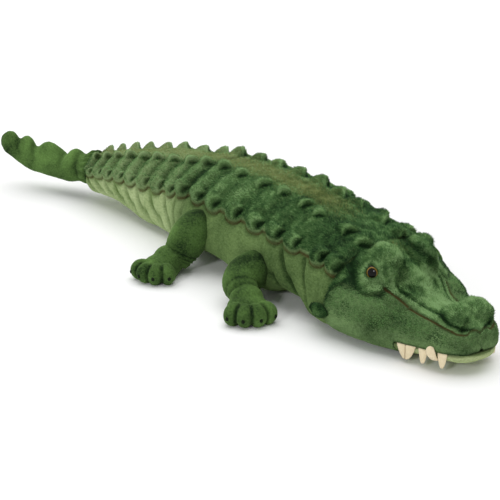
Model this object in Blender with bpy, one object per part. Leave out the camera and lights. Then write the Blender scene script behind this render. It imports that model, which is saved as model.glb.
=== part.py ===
"""A plush crocodile, about one metre along the back, lying on its belly.

Metres, +Z up, nose towards +X, the crocodile's own left towards +Y. The origin is the middle of
the flat patch of belly that it rests on. A place on the body is given by s, the way from the nose
along the back, by an angle round the body (0 at its left side, a quarter turn at the top), and by
the distance from the middle of the section there.
"""

import math

import bmesh
import bpy
from mathutils import Matrix, Vector

# Lengths along the back
HEAD_LENGTH = 0.205
NECK_LENGTH = 0.067
TRUNK_LENGTH = 0.290
TAIL_ROOT_LENGTH = 0.276
TAIL_TIP_LENGTH = 0.188

# Widths and heights of the stuffed body, without the scutes
HEAD_WIDTH = 0.200
HEAD_HEIGHT = 0.114
NECK_WIDTH = 0.200
NECK_HEIGHT = 0.124
TRUNK_WIDTH = 0.200
TRUNK_HEIGHT = 0.138
TAIL_WIDTH = 0.156
TAIL_HEIGHT = 0.118
TAIL_TIP_WIDTH = 0.076
TAIL_TIP_HEIGHT = 0.068
TAIL_LIFT = 0.044

# Bends of the back at rest, in degrees: the head and the tail both turn to the right side
HEAD_TURN = 3.4
TAIL_TURN = 36.5

# Scutes and the hide that they are sewn into
HIDE_THICKNESS = 0.0035
INNER_SCUTE_HEIGHT = 0.0160
SIDE_SCUTE_HEIGHT = 0.0095
SCUTE_LENGTH = 0.034
SCUTE_WIDTH = 0.032
SCALLOP_DEPTH = 0.007
CREST_HEIGHT = 0.013

# Face
BROW_LENGTH = 0.066
BROW_WIDTH = 0.042
BROW_HEIGHT = 0.066
NOSTRIL_LENGTH = 0.044
NOSTRIL_WIDTH = 0.036
NOSTRIL_HEIGHT = 0.034
EYE_DIAMETER = 0.0155
SHANK_DIAMETER = 0.0046
SHANK_LENGTH = 0.0150
WASHER_DIAMETER = 0.0190
WASHER_THICKNESS = 0.0016

# Mouth and teeth
JAW_LENGTH = 0.098
JAW_THICKNESS = 0.021
MOUTH_HEIGHT = 0.0300
MOUTH_DROP = 0.0050
LIP_OVERHANG = 0.0060
TOOTH_THICKNESS = 0.0046
WEDGE_TOOTH_WIDTH = 0.0290
TOOTH_WIDTH = 0.0140
TOOTH_LENGTH = 0.0200

# Legs
LEG_BALL_DIAMETER = 0.068
FRONT_LEG_DIAMETER = 0.056
REAR_LEG_DIAMETER = 0.054
ANKLE_DIAMETER = 0.044
FRONT_LEG_REACH = 0.052
REAR_LEG_REACH = 0.050
FOOT_LENGTH = 0.080
FOOT_HEIGHT = 0.036
TOE_LENGTH = 0.040
TOE_WIDTH = 0.0200
TOE_HEIGHT = 0.0250

# Clearances between pieces
SEAT_GAP = 0.0003
BALL_GAP = 0.0008
JAW_GAP = 0.0006
TOOTH_GAP = 0.0012

# How far each joint turns, in degrees
NECK_RANGE = 10.0
TAIL_ROOT_RANGE = 8.0
TAIL_TIP_RANGE = 14.0
TURN_MARGIN = 1.0

# Where a mesh's points count as one, and how far a cut runs on past what it cuts
MERGE_DISTANCE = 1e-7
CUT_OVERRUN = 0.2

# Numbers of facets
AROUND_COUNT = 20
BALL_SEGMENT_COUNT = 24
BALL_RING_COUNT = 5
LEG_BALL_SEGMENT_COUNT = 16
HEAD_AROUND_COUNT = 20
TUBE_SIDE_COUNT = 10
TOOTH_SIDE_COUNT = 8
SHANK_SIDE_COUNT = 10
WASHER_SIDE_COUNT = 16
EYE_SEGMENT_COUNT = 16
EYE_RING_COUNT = 8
FOOT_SEGMENT_COUNT = 8
FOOT_RING_COUNT = 5
SPINE_COUNT = 400
HINGE_STEP_DEGREES = 15
HINGE_UNDERCUT_DEGREES = 60
TRUNK_COUNT = 8
NECK_COUNT = 2
TAIL_ROOT_COUNT = 8
TAIL_TIP_COUNT = 12
# The hide: steps along it to each one of the body's, and steps across it
TRUNK_HIDE_COUNTS = (3, 14)
NECK_HIDE_COUNTS = (3, 16)
TAIL_HIDE_COUNTS = (4, 10)

# Places along the back that follow from the lengths
NECK_START = HEAD_LENGTH
NECK_JOINT = NECK_START + NECK_LENGTH
HIP_JOINT = NECK_JOINT + TRUNK_LENGTH
TAIL_JOINT = HIP_JOINT + TAIL_ROOT_LENGTH
TAIL_END = TAIL_JOINT + TAIL_TIP_LENGTH
ORIGIN_SHARE = 0.545
ORIGIN_S = NECK_JOINT + ORIGIN_SHARE * TRUNK_LENGTH

# Half-width, top, underside and height of the widest place at stations along the body.
# Each row is: share of the piece's length, then shares of its half-width, of its height for the
# top and for the widest place, and of its height for the underside.
HEAD_SECTION_SHARES = (
    (0.000, 0.040, 0.440, 0.330, 0.250),
    (0.010, 0.220, 0.560, 0.330, 0.120),
    (0.040, 0.330, 0.630, 0.330, 0.060),
    (0.100, 0.420, 0.670, 0.330, 0.030),
    (0.200, 0.500, 0.630, 0.320, 0.015),
    (0.350, 0.600, 0.600, 0.320, 0.010),
    (0.500, 0.720, 0.660, 0.320, 0.008),
    (0.650, 0.860, 0.820, 0.310, 0.008),
    (0.820, 0.960, 0.940, 0.310, 0.008),
    (1.000, 1.000, 1.000, 0.310, 0.008),
)
NECK_SECTION_SHARES = ((0.450, 0.990, 0.970, 0.300, 0.006), (1.000, 0.970, 1.010, 0.300, 0.004))
TRUNK_SECTION_SHARES = (
    (0.200, 0.970, 0.965, 0.300, -0.004),
    (0.450, 1.000, 1.000, 0.300, -0.004),
    (0.700, 1.000, 0.995, 0.300, -0.004),
    (1.000, 0.930, 0.950, 0.310, 0.004),
)
TAIL_SECTION_SHARES = (
    (0.250, 0.990, 1.010, 0.340, 0.018),
    (0.500, 0.885, 0.915, 0.350, 0.034),
    (0.750, 0.710, 0.790, 0.380, 0.068),
    (1.000, 0.490, 0.650, 0.370, 0.076),
)
TAIL_TIP_SECTION_SHARES = (
    (0.220, 0.790, 0.400, 0.015, -0.350),
    (0.390, 0.640, 0.260, -0.015, -0.280),
    (0.540, 0.540, 0.265, 0.000, -0.250),
    (0.680, 0.450, 0.355, 0.060, -0.215),
    (0.840, 0.370, 0.500, 0.235, -0.015),
    (0.940, 0.260, 0.560, 0.370, 0.190),
    (1.000, 0.040, 0.470, 0.410, 0.350),
)
ROUND_TOP = 2.0
ROUND_BELLY = 3.3

# The legs: the share of the trunk's length behind the neck joint and of its height for the ball
FRONT_LEG_SHARES = (0.330, 0.375)
REAR_LEG_SHARES = (0.820, 0.375)
# Points down each leg: forward and outward in shares of its reach, height in shares of the ball's
FRONT_LEG_PATH_SHARES = ((0.00, 0.00, 1.00), (0.04, 0.42, 0.84), (0.24, 0.70, 0.58), (0.60, 0.78, 0.42))
REAR_LEG_PATH_SHARES = ((0.00, 0.00, 1.00), (0.00, 0.48, 0.84), (-0.04, 0.84, 0.60), (-0.08, 1.04, 0.42))
# How far each ring of a leg has the leg's own thickness, the rest being the ankle's
LEG_TAPER_SHARES = (0.80, 1.00, 0.50, 0.00)
# Degrees forward of straight out to the side that each foot points
FRONT_FOOT_YAW = 50.0
REAR_FOOT_YAW = 30.0
TOE_FAN_DEGREES = (-48.0, -17.0, 14.0, 45.0)
# A foot's half-length and half-width in shares of its length, its half-height in shares of its height
FOOT_SHARES = (0.40, 0.36, 0.60)
FOOT_AHEAD_SHARE = 0.24
FOOT_RISE_SHARE = 0.36
TOE_AHEAD_SHARE = 0.38
TOE_RISE_SHARE = 0.42

# Scutes: share of the length of the piece that carries them
NECK_SCUTE_SHARES = (0.160, 0.700)
TRUNK_SCUTE_SHARES = (0.125, 0.255, 0.405, 0.575, 0.745, 0.895)
TAIL_SCUTE_SHARES = (0.060, 0.195, 0.350, 0.490, 0.615, 0.725, 0.830, 0.920)
CREST_SHARES = (0.100, 0.300, 0.570, 0.755, 0.920)
CREST_LENGTH_SHARE = 0.085
INNER_ROW_DEGREES = (71.0, 62.0)
SIDE_ROW_DEGREES = (38.0, 24.0)
NARROW_SCUTE_SHARE = 0.42
HIDE_BORDER_SHARE = 0.30
SCUTE_ROUNDING = 1.3
CREST_FALL_SHARE = 0.40

# The face, in shares of the head's length and of its section there
BROW_S = 0.790 * HEAD_LENGTH
BROW_SIDE_SHARE = 0.300
BROW_RISE_SHARE = 0.900
NOSTRIL_S = 0.150 * HEAD_LENGTH
NOSTRIL_SIDE_SHARE = 0.400
NOSTRIL_RISE_SHARE = 0.900
MOUND_SOFT_SHARE = 0.20
EYE_LOOK_SHARES = (0.36, 0.90, 0.02)
EYE_DOME_SHARE = 0.42
WASHER_DEPTH_SHARE = 0.75
HEAD_PLACE_SHARES = (0.0, 0.010, 0.030, 0.065, 0.110, 0.160, 0.220, 0.290, 0.380, 0.460,
                     0.540, 0.610, 0.670, 0.730, 0.790, 0.850, 0.920, 1.0)

# Teeth on each side: name, share of the jaw's length from the front, 1 for down and -1 for up
TOOTH_SHARES = (("wedge", 0.790, 1), ("small", 0.540, 1), ("lower", 0.390, -1), ("front", 0.260, 1))
LOWER_TOOTH_ROOT_SHARE = 0.55
LOWER_TOOTH_BEND_SHARE = 0.42
# Share of a tooth's length from its root, and of its width there
TOOTH_TAPER_SHARES = ((0.0, 1.0), (0.35, 0.86), (0.70, 0.62), (0.93, 0.36), (1.0, 0.12))

# How much of a section its joint's ball fills, and how deep in the flank a leg's ball sits
BALL_WIDE_SHARE = 0.62
BALL_HIGH_SHARE = 0.88
LEG_INSET_SHARE = 0.05
HIDE_INNER_DEGREES = 30.0

LEGS = ("front_left", "front_right", "rear_left", "rear_right")

DARK_GREEN = (0.035, 0.105, 0.030)
MID_GREEN = (0.075, 0.180, 0.055)
LIGHT_GREEN = (0.190, 0.320, 0.110)
CREAM = (0.700, 0.560, 0.330)
AMBER = (0.350, 0.190, 0.020)
BLACK = (0.010, 0.010, 0.010)
CLOTH_ROUGHNESS = 0.90
EYE_ROUGHNESS = 0.08
WASHER_ROUGHNESS = 0.50

COLLECTION = "plush_crocodile"


def clear_scene():
    for thing in list(bpy.data.objects):
        bpy.data.objects.remove(thing, do_unlink=True)
    for name in (COLLECTION, "cutters"):
        bpy.context.scene.collection.children.link(bpy.data.collections.new(name))


def knots():
    """Every station of the body: s, half-width, top, widest height, underside."""
    rows = []
    for along, wide, top, mid, low in HEAD_SECTION_SHARES:
        rows.append((along * HEAD_LENGTH, wide * HEAD_WIDTH / 2, top * HEAD_HEIGHT,
                     mid * HEAD_HEIGHT, low * HEAD_HEIGHT))
    for along, wide, top, mid, low in NECK_SECTION_SHARES:
        rows.append((NECK_START + along * NECK_LENGTH, wide * NECK_WIDTH / 2, top * NECK_HEIGHT,
                     mid * NECK_HEIGHT, low * NECK_HEIGHT))
    for along, wide, top, mid, low in TRUNK_SECTION_SHARES:
        rows.append((NECK_JOINT + along * TRUNK_LENGTH, wide * TRUNK_WIDTH / 2, top * TRUNK_HEIGHT,
                     mid * TRUNK_HEIGHT, low * TRUNK_HEIGHT))
    for along, wide, top, mid, low in TAIL_SECTION_SHARES:
        rows.append((HIP_JOINT + along * TAIL_ROOT_LENGTH, wide * TAIL_WIDTH / 2, top * TAIL_HEIGHT,
                     mid * TAIL_HEIGHT, low * TAIL_HEIGHT))
    for along, wide, top, mid, low in TAIL_TIP_SECTION_SHARES:
        rows.append((TAIL_JOINT + along * TAIL_TIP_LENGTH, wide * TAIL_TIP_WIDTH / 2,
                     TAIL_LIFT + top * TAIL_TIP_HEIGHT, TAIL_LIFT + mid * TAIL_TIP_HEIGHT,
                     TAIL_LIFT + low * TAIL_TIP_HEIGHT))
    return rows


KNOTS = knots()


def slope(i, column):
    """A slope at station i that never overshoots its neighbours."""
    if i in (0, len(KNOTS) - 1):
        return 0.0
    before = (KNOTS[i][column] - KNOTS[i - 1][column]) / (KNOTS[i][0] - KNOTS[i - 1][0])
    after = (KNOTS[i + 1][column] - KNOTS[i][column]) / (KNOTS[i + 1][0] - KNOTS[i][0])
    return 0.0 if before * after <= 0 else 2 * before * after / (before + after)


def section(s):
    """Half-width, top, widest height and underside of the body at s."""
    s = min(max(s, 0.0), TAIL_END)
    i = max(k for k in range(len(KNOTS) - 1) if KNOTS[k][0] <= s)
    step = KNOTS[i + 1][0] - KNOTS[i][0]
    t = (s - KNOTS[i][0]) / step
    values = []
    for column in (1, 2, 3, 4):
        a, b = KNOTS[i][column], KNOTS[i + 1][column]
        value = a * (1 + 2 * t) * (1 - t) ** 2 + b * (3 - 2 * t) * t * t
        value += step * (slope(i, column) * t * (1 - t) ** 2 - slope(i + 1, column) * t * t * (1 - t))
        values.append(value)
    return values


def heading(s):
    """The way the back faces at s, in radians from +X."""
    if s < NECK_JOINT:
        return -math.radians(HEAD_TURN) * min(1.0, (NECK_JOINT - s) / NECK_LENGTH)
    return math.radians(TAIL_TURN) * max(0.0, (s - HIP_JOINT) / (TAIL_END - HIP_JOINT))



def spine_table():
    """Points of the back's centre line in plan, from the nose to the end of the tail."""
    step = TAIL_END / SPINE_COUNT
    points = [Vector((0.0, 0.0))]
    for i in range(SPINE_COUNT):
        way = heading((i + 0.5) * step)
        points.append(points[-1] - step * Vector((math.cos(way), math.sin(way))))
    place = ORIGIN_S / step
    start = points[int(place)].lerp(points[int(place) + 1], place - int(place))
    return [point - start for point in points]


SPINE = spine_table()


def along(s, left, height):
    """The point at s on the back, that far to the left of it and that high."""
    place = min(max(s / TAIL_END, 0.0), 1.0) * SPINE_COUNT
    i = min(int(place), SPINE_COUNT - 1)
    x, y = SPINE[i].lerp(SPINE[i + 1], place - i)
    way = heading(s)
    return Vector((x - math.sin(way) * left, y + math.cos(way) * left, height))


def smooth_max(a, b, soft):
    """The larger of two values, rounded off where they are within soft of each other."""
    share = max(soft - abs(a - b), 0.0) / soft
    return max(a, b) + share * share * soft / 4


def mounds():
    """The swellings of the face, each a centre and three radii: s, left, height."""
    found = []
    wide, top, mid, low = section(BROW_S)
    brow = (BROW_S, BROW_SIDE_SHARE * wide, BROW_RISE_SHARE * top)
    found.append((brow, (BROW_LENGTH / 2, BROW_WIDTH / 2, BROW_HEIGHT / 2)))
    wide, top, mid, low = section(NOSTRIL_S)
    nostril = (NOSTRIL_S, NOSTRIL_SIDE_SHARE * wide, NOSTRIL_RISE_SHARE * top)
    found.append((nostril, (NOSTRIL_LENGTH / 2, NOSTRIL_WIDTH / 2, NOSTRIL_HEIGHT / 2)))
    return found


def mound_reach(s, angle, mid, mound):
    """How far a ray from the middle of the section at s goes before it leaves a mound, or 0."""
    (centre_s, centre_left, centre_z), (long, wide, high) = mound
    share = 1 - ((s - centre_s) / long) ** 2
    if share <= 0:
        return 0.0
    size = math.sqrt(share)
    ray = (math.cos(angle) / (wide * size), math.sin(angle) / (high * size))
    to = (centre_left / (wide * size), (centre_z - mid) / (high * size))
    a = ray[0] ** 2 + ray[1] ** 2
    b = ray[0] * to[0] + ray[1] * to[1]
    under = b * b - a * (to[0] ** 2 + to[1] ** 2 - 1)
    return 0.0 if under <= 0 else max(0.0, (b + math.sqrt(under)) / a)


def reach(s, angle):
    """The radius of the bare stuffed body at s, in that direction round it."""
    wide, top, mid, low = section(s)
    across, up = math.cos(angle), math.sin(angle)
    high = top - mid if up >= 0 else mid - low
    power = ROUND_TOP if up >= 0 else ROUND_BELLY
    radius = ((abs(across) / wide) ** power + (abs(up) / high) ** power) ** (-1 / power)
    if s < HEAD_LENGTH and up > 0:
        for mound in mounds():
            side = angle if across >= 0 else math.pi - angle
            bulge = mound_reach(s, side, mid, mound)
            if bulge > 0:
                radius = smooth_max(radius, bulge, MOUND_SOFT_SHARE * radius)
    return radius


def skin(s, angle, proud=0.0):
    """A point of the surface, that far proud of the bare body, never under the floor."""
    radius = reach(s, angle) + proud
    mid = section(s)[2]
    return along(s, radius * math.cos(angle), max(0.0, mid + radius * math.sin(angle)))


def give_material(thing, colour, roughness):
    """A material of its own for an object, under the object's name."""
    material = bpy.data.materials.new(thing.name)
    material.use_nodes = True
    shader = material.node_tree.nodes["Principled BSDF"]
    shader.inputs["Base Color"].default_value = (*colour, 1.0)
    shader.inputs["Roughness"].default_value = roughness
    thing.data.materials.append(material)
    return thing


def mesh_object(name, bm, colour, roughness=CLOTH_ROUGHNESS):
    """Puts a mesh into the part under its name, with a material if it has a colour."""
    bmesh.ops.remove_doubles(bm, verts=bm.verts, dist=MERGE_DISTANCE)
    bmesh.ops.recalc_face_normals(bm, faces=bm.faces)
    mesh = bpy.data.meshes.new(name)
    bm.to_mesh(mesh)
    bm.free()
    thing = bpy.data.objects.new(name, mesh)
    bpy.data.collections[COLLECTION].objects.link(thing)
    mesh.shade_smooth()
    return give_material(thing, colour, roughness) if colour else thing


def as_helper(thing):
    """Moves an object among the cutters, out of the part."""
    bpy.data.collections[COLLECTION].objects.unlink(thing)
    bpy.data.collections["cutters"].objects.link(thing)
    thing.hide_render = True
    thing.display_type = "WIRE"
    return thing


def combine(thing, other, operation):
    """Adds an exact Boolean of that kind to an object."""
    modifier = thing.modifiers.new(f"{operation.lower()} {other.name}", "BOOLEAN")
    modifier.operation = operation
    modifier.solver = "EXACT"
    modifier.object = other
    return thing


def loft(rings):
    """A closed mesh through rings of equal count, with a flat cap at each end.

    Its sides are triangles that always lean the same way, so a piece and its grown cutter match.
    """
    bm = bmesh.new()
    rows = [[bm.verts.new(point) for point in ring] for ring in rings]
    for a, b in zip(rows, rows[1:]):
        for i in range(len(a)):
            j = (i + 1) % len(a)
            bm.faces.new((a[i], a[j], b[j]))
            bm.faces.new((a[i], b[j], b[i]))
    bm.faces.new(rows[0])
    bm.faces.new(rows[-1])
    return bm


def spaced(start, stop, steps):
    return [start + (stop - start) * i / steps for i in range(steps + 1)]


def body_rings(span, steps):
    turns = [2 * math.pi * i / AROUND_COUNT for i in range(AROUND_COUNT)]
    return [[skin(place_in(span, share, turn), turn) for turn in turns] for share in spaced(0.0, 1.0, steps)]


def ball(name, centre, across, high, segments=BALL_SEGMENT_COUNT):
    """A ball that is as wide along X as along Y, so that it can turn about its upright axis."""
    bm = bmesh.new()
    bmesh.ops.create_uvsphere(bm, u_segments=segments, v_segments=BALL_RING_COUNT, radius=1.0)
    bm.transform(Matrix.Translation(centre) @ Matrix.Diagonal((across, across, high, 1.0)))
    return as_helper(mesh_object(name, bm, None))


def joint_ball(name, s, room, gap):
    """The ball that a joint of the back turns on, or with a gap the socket for it."""
    wide, top, mid, low = section(s)
    centre = along(s, 0.0, (top + max(low, 0.0)) / 2)
    high = BALL_HIGH_SHARE * (top - max(low, 0.0)) / 2
    across = min(BALL_WIDE_SHARE * wide, BALL_HIGH_SHARE * room)
    return ball(name, centre, across + gap, high + gap)


def turn_slope(degrees):
    """How steeply a piece's end slopes back from a joint, so that nothing meets it in a turn."""
    return math.tan(math.radians(degrees + TURN_MARGIN))


# Each piece's front and rear end: its s in the middle, and its slope towards the sides
NECK_SPAN = ((NECK_START + SEAT_GAP, 0.0), (NECK_JOINT, 0.0))
TRUNK_SPAN = ((NECK_JOINT + BALL_GAP, turn_slope(NECK_RANGE)),
              (HIP_JOINT - BALL_GAP, turn_slope(TAIL_ROOT_RANGE)))
TAIL_ROOT_SPAN = ((HIP_JOINT, 0.0), (TAIL_JOINT - BALL_GAP, turn_slope(TAIL_TIP_RANGE)))
TAIL_TIP_SPAN = ((TAIL_JOINT, 0.0), (TAIL_END, 0.0))


def place_in(span, share, angle):
    """The s of a place at a share of the way through a piece, at an angle round it."""
    proud = HIDE_THICKNESS + SIDE_SCUTE_HEIGHT
    (front, front_slope), (rear, rear_slope) = span
    ahead = front + front_slope * abs(math.cos(angle)) * (section(front)[0] + proud)
    behind = rear - rear_slope * abs(math.cos(angle)) * (section(rear)[0] + proud)
    return ahead + share * (behind - ahead)


def leg_path(name):
    """The points down the middle of a leg, from its ball in the flank, and the way its foot points."""
    front = name.startswith("front")
    side = 1 if name.endswith("left") else -1
    share, rise = FRONT_LEG_SHARES if front else REAR_LEG_SHARES
    s = NECK_JOINT + share * TRUNK_LENGTH
    out = section(s)[0] - LEG_INSET_SHARE * LEG_BALL_DIAMETER
    reach_out = FRONT_LEG_REACH if front else REAR_LEG_REACH
    start = along(s, side * out, rise * TRUNK_HEIGHT)
    path = [start + Vector((ahead * reach_out, side * aside * reach_out, (high - 1) * start.z))
            for ahead, aside, high in (FRONT_LEG_PATH_SHARES if front else REAR_LEG_PATH_SHARES)]
    yaw = math.radians(FRONT_FOOT_YAW if front else REAR_FOOT_YAW)
    return path, Vector((math.sin(yaw), side * math.cos(yaw), 0.0))


def tube(name, path, radii, colour=None):
    """A round tube through a few points, a cutter if it has no colour."""
    rings = []
    for i, point in enumerate(path):
        ahead = path[min(i + 1, len(path) - 1)] - path[max(i - 1, 0)]
        turn = ahead.to_track_quat("Z", "Y")
        rings.append([point + turn @ Vector((radii[i] * math.cos(a), radii[i] * math.sin(a), 0.0))
                      for a in (2 * math.pi * k / TUBE_SIDE_COUNT for k in range(TUBE_SIDE_COUNT))])
    thing = mesh_object(name, loft(rings), colour)
    return thing if colour else as_helper(thing)


def row_angle(s, degrees):
    """The angle of a row of scutes at s, which spreads towards the end of the tail."""
    share = min(max((s - HIP_JOINT) / (TAIL_JOINT - HIP_JOINT), 0.0), 1.0)
    return math.radians(degrees[0] + (degrees[1] - degrees[0]) * share)


def scute_places():
    """Each scute of the back: its s, its angle, its height and its size as a share."""
    found = []
    pieces = ((NECK_START, NECK_LENGTH, NECK_SCUTE_SHARES),
              (NECK_JOINT, TRUNK_LENGTH, TRUNK_SCUTE_SHARES),
              (HIP_JOINT, TAIL_ROOT_LENGTH, TAIL_SCUTE_SHARES))
    for start, length, shares in pieces:
        for share in shares:
            s = start + share * length
            size = NARROW_SCUTE_SHARE + (1 - NARROW_SCUTE_SHARE) * min(1.0, 2 * section(s)[0] / TRUNK_WIDTH)
            for degrees, height in ((INNER_ROW_DEGREES, INNER_SCUTE_HEIGHT),
                                    (SIDE_ROW_DEGREES, SIDE_SCUTE_HEIGHT)):
                angle = row_angle(s, degrees)
                found.append((s, angle, height * size, size))
                found.append((s, math.pi - angle, height * size, size))
    return found


def scute_height(s, angle, scutes):
    """How far the hide stands up in scutes at a place on it."""
    radius = section(s)[0]
    total = 0.0
    for centre, turn, height, size in scutes:
        back = (s - centre) / (SCUTE_LENGTH * size / 2)
        across = radius * (angle - turn) / (SCUTE_WIDTH * size / 2)
        away = back * back + across * across
        if away < 1:
            total = max(total, height * (1 - away) ** SCUTE_ROUNDING)
    return total


def hide_edge(s, scutes):
    """The angle of the hide's lower edge at s, which dips in a scallop round each side scute."""
    edge = row_angle(s, SIDE_ROW_DEGREES)
    dip = 0.0
    for centre, turn, height, size in scutes:
        if turn < (edge + row_angle(s, INNER_ROW_DEGREES)) / 2:
            back = (s - centre) / (SCUTE_LENGTH * size / 2)
            dip = max(dip, SCALLOP_DEPTH * size * math.sqrt(max(0.0, 1 - back * back)))
    return edge - (SCUTE_WIDTH * HIDE_BORDER_SHARE + dip) / section(s)[0]


def zip_edges(bm, a, b):
    """Triangles that close the strip between two edges with unlike numbers of points."""
    i = j = 0
    while i < len(a) - 1 or j < len(b) - 1:
        if j == len(b) - 1 or (i < len(a) - 1 and (i + 1) * (len(b) - 1) <= (j + 1) * (len(a) - 1)):
            bm.faces.new((a[i], a[i + 1], b[j]))
            i += 1
        else:
            bm.faces.new((a[i], b[j + 1], b[j]))
            j += 1


def grid_faces(bm, rows):
    for a, b in zip(rows, rows[1:]):
        for i in range(len(a) - 1):
            bm.faces.new((a[i], a[i + 1], b[i + 1], b[i]))


def hide(name, span, cuts, steps):
    """A hide over the back: coarse where it lies on the body, fine where it stands up in scutes."""
    scutes = scute_places()
    along_steps, across_steps = steps
    bm = bmesh.new()
    inner_edge = math.radians(HIDE_INNER_DEGREES)
    turns = [2 * math.pi * i / AROUND_COUNT for i in range(AROUND_COUNT // 2 + 1)]
    turns = [turn for turn in turns if inner_edge < turn < math.pi - inner_edge]
    inner = [[bm.verts.new(skin(place_in(span, share, turn), turn, SEAT_GAP)) for turn in turns]
             for share in spaced(0.0, 1.0, cuts)]
    outer = []
    for share in spaced(0.0, 1.0, cuts * along_steps):
        edge = hide_edge(place_in(span, share, math.radians(SIDE_ROW_DEGREES[0])), scutes)
        row = []
        for angle in spaced(edge, math.pi - edge, across_steps):
            s = place_in(span, share, angle)
            proud = SEAT_GAP + HIDE_THICKNESS + scute_height(s, angle, scutes)
            row.append(bm.verts.new(skin(s, angle, proud)))
        outer.append(row)
    grid_faces(bm, inner)
    grid_faces(bm, outer)
    zip_edges(bm, inner[0], outer[0])
    zip_edges(bm, inner[-1], outer[-1])
    zip_edges(bm, [row[0] for row in inner], [row[0] for row in outer])
    zip_edges(bm, [row[-1] for row in inner], [row[-1] for row in outer])
    return mesh_object(name, bm, DARK_GREEN)


def make_trunk():
    trunk = mesh_object("trunk", loft(body_rings(TRUNK_SPAN, TRUNK_COUNT)), LIGHT_GREEN)
    combine(trunk, joint_ball("neck_socket", NECK_JOINT, NECK_LENGTH, BALL_GAP), "DIFFERENCE")
    combine(trunk, joint_ball("hip_ball", HIP_JOINT, TAIL_ROOT_LENGTH, 0.0), "UNION")
    radius = LEG_BALL_DIAMETER / 2 + BALL_GAP
    for leg in LEGS:
        centre = leg_path(leg)[0][0]
        combine(trunk, ball(f"{leg}_socket", centre, radius, radius, LEG_BALL_SEGMENT_COUNT), "DIFFERENCE")
    hide("trunk_hide", TRUNK_SPAN, TRUNK_COUNT, TRUNK_HIDE_COUNTS)


def make_neck():
    neck = mesh_object("neck", loft(body_rings(NECK_SPAN, NECK_COUNT)), LIGHT_GREEN)
    combine(neck, joint_ball("neck_ball", NECK_JOINT, NECK_LENGTH, 0.0), "UNION")
    hide("neck_hide", NECK_SPAN, NECK_COUNT, NECK_HIDE_COUNTS)


def make_tail():
    root = mesh_object("tail_root", loft(body_rings(TAIL_ROOT_SPAN, TAIL_ROOT_COUNT)), MID_GREEN)
    combine(root, joint_ball("hip_socket", HIP_JOINT, TAIL_ROOT_LENGTH, BALL_GAP), "DIFFERENCE")
    combine(root, joint_ball("tail_socket", TAIL_JOINT, TAIL_TIP_LENGTH, BALL_GAP), "DIFFERENCE")
    hide("tail_root_hide", TAIL_ROOT_SPAN, TAIL_ROOT_COUNT, TAIL_HIDE_COUNTS)
    rings = body_rings(TAIL_TIP_SPAN, TAIL_TIP_COUNT)
    for share, ring in zip(spaced(0.0, 1.0, TAIL_TIP_COUNT), rings):
        ring[AROUND_COUNT // 4].z += crest_height(TAIL_JOINT + share * TAIL_TIP_LENGTH)
    tip = mesh_object("tail_tip", loft(rings), DARK_GREEN)
    combine(tip, joint_ball("tail_ball", TAIL_JOINT, TAIL_TIP_LENGTH, 0.0), "UNION")


def crest_height(s):
    """The height of the single row of crests along the end of the tail."""
    total = 0.0
    for share in CREST_SHARES:
        centre = TAIL_JOINT + share * TAIL_TIP_LENGTH
        back = (s - centre) / (CREST_LENGTH_SHARE * TAIL_TIP_LENGTH)
        total = max(total, CREST_HEIGHT * (1 - share * CREST_FALL_SHARE) * max(0.0, 1 - back * back))
    return total


def head_rings(places, inset=0.0):
    turns = [2 * math.pi * i / HEAD_AROUND_COUNT for i in range(HEAD_AROUND_COUNT)]
    return [[skin(s, turn, -inset) for turn in turns] for s in places]


def mouth_height(s):
    return MOUTH_HEIGHT - MOUTH_DROP * s / JAW_LENGTH


def jaw_radius():
    """The radius of the round back end of the lower jaw."""
    return (JAW_THICKNESS - LIP_OVERHANG) / 2


def jaw_hinge():
    """The middle of the line that the lower jaw turns on."""
    return along(JAW_LENGTH, 0.0, mouth_height(JAW_LENGTH) - JAW_GAP - jaw_radius())


def jaw_block(name, grow):
    """A block across the head that holds the lower jaw, round at the back about its hinge."""
    radius = jaw_radius()
    hinge = (JAW_LENGTH, mouth_height(JAW_LENGTH) - JAW_GAP - radius)
    out = -CUT_OVERRUN
    outline = [(out, out), (out, mouth_height(out) - JAW_GAP + grow)]
    lowest = 0 if grow else -HINGE_UNDERCUT_DEGREES
    for degrees in range(90, lowest - 1, -HINGE_STEP_DEGREES):
        turn = math.radians(degrees)
        outline.append((hinge[0] + (radius + grow) * math.cos(turn),
                        hinge[1] + (radius + grow) * math.sin(turn)))
    outline.append((outline[-1][0], out))
    bm = bmesh.new()
    start = along(0.0, 0.0, 0.0)
    way = heading(0.0)
    forward = Vector((math.cos(way), math.sin(way), 0.0))
    left = Vector((-math.sin(way), math.cos(way), 0.0))
    sides = [[bm.verts.new(start - forward * s + left * side * HEAD_WIDTH + Vector((0.0, 0.0, z)))
              for s, z in outline] for side in (-1, 1)]
    for i in range(len(outline)):
        j = (i + 1) % len(outline)
        bm.faces.new((sides[0][i], sides[0][j], sides[1][j], sides[1][i]))
    bm.faces.new(sides[0])
    bm.faces.new(sides[1])
    return as_helper(mesh_object(name, bm, None))


def eye_frame(side):
    """The middle of an eye on its brow mound, and the way that it looks."""
    (s, left, height), (long, wide, high) = mounds()[0]
    look = Vector(EYE_LOOK_SHARES).normalized()
    far = 1 / math.sqrt((look.x / long) ** 2 + (look.y / wide) ** 2 + (look.z / high) ** 2)
    way = heading(0.0)
    forward = Vector((math.cos(way), math.sin(way), 0.0))
    out = side * Vector((-math.sin(way), math.cos(way), 0.0))
    direction = forward * look.x + out * look.y + Vector((0.0, 0.0, look.z))
    return along(s, side * left, height) + direction * far, direction


def round_bar(name, centre, direction, radius, near, far, sides, colour=None):
    """A cylinder along a direction, from near to far of a centre."""
    bm = bmesh.new()
    bmesh.ops.create_cone(bm, cap_ends=True, segments=sides, radius1=radius, radius2=radius,
                          depth=abs(far - near))
    turn = direction.to_track_quat("Z", "Y").to_matrix().to_4x4()
    middle = centre + direction * (near + far) / 2
    bm.transform(Matrix.Translation(middle) @ turn)
    return mesh_object(name, bm, colour, WASHER_ROUGHNESS)


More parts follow.
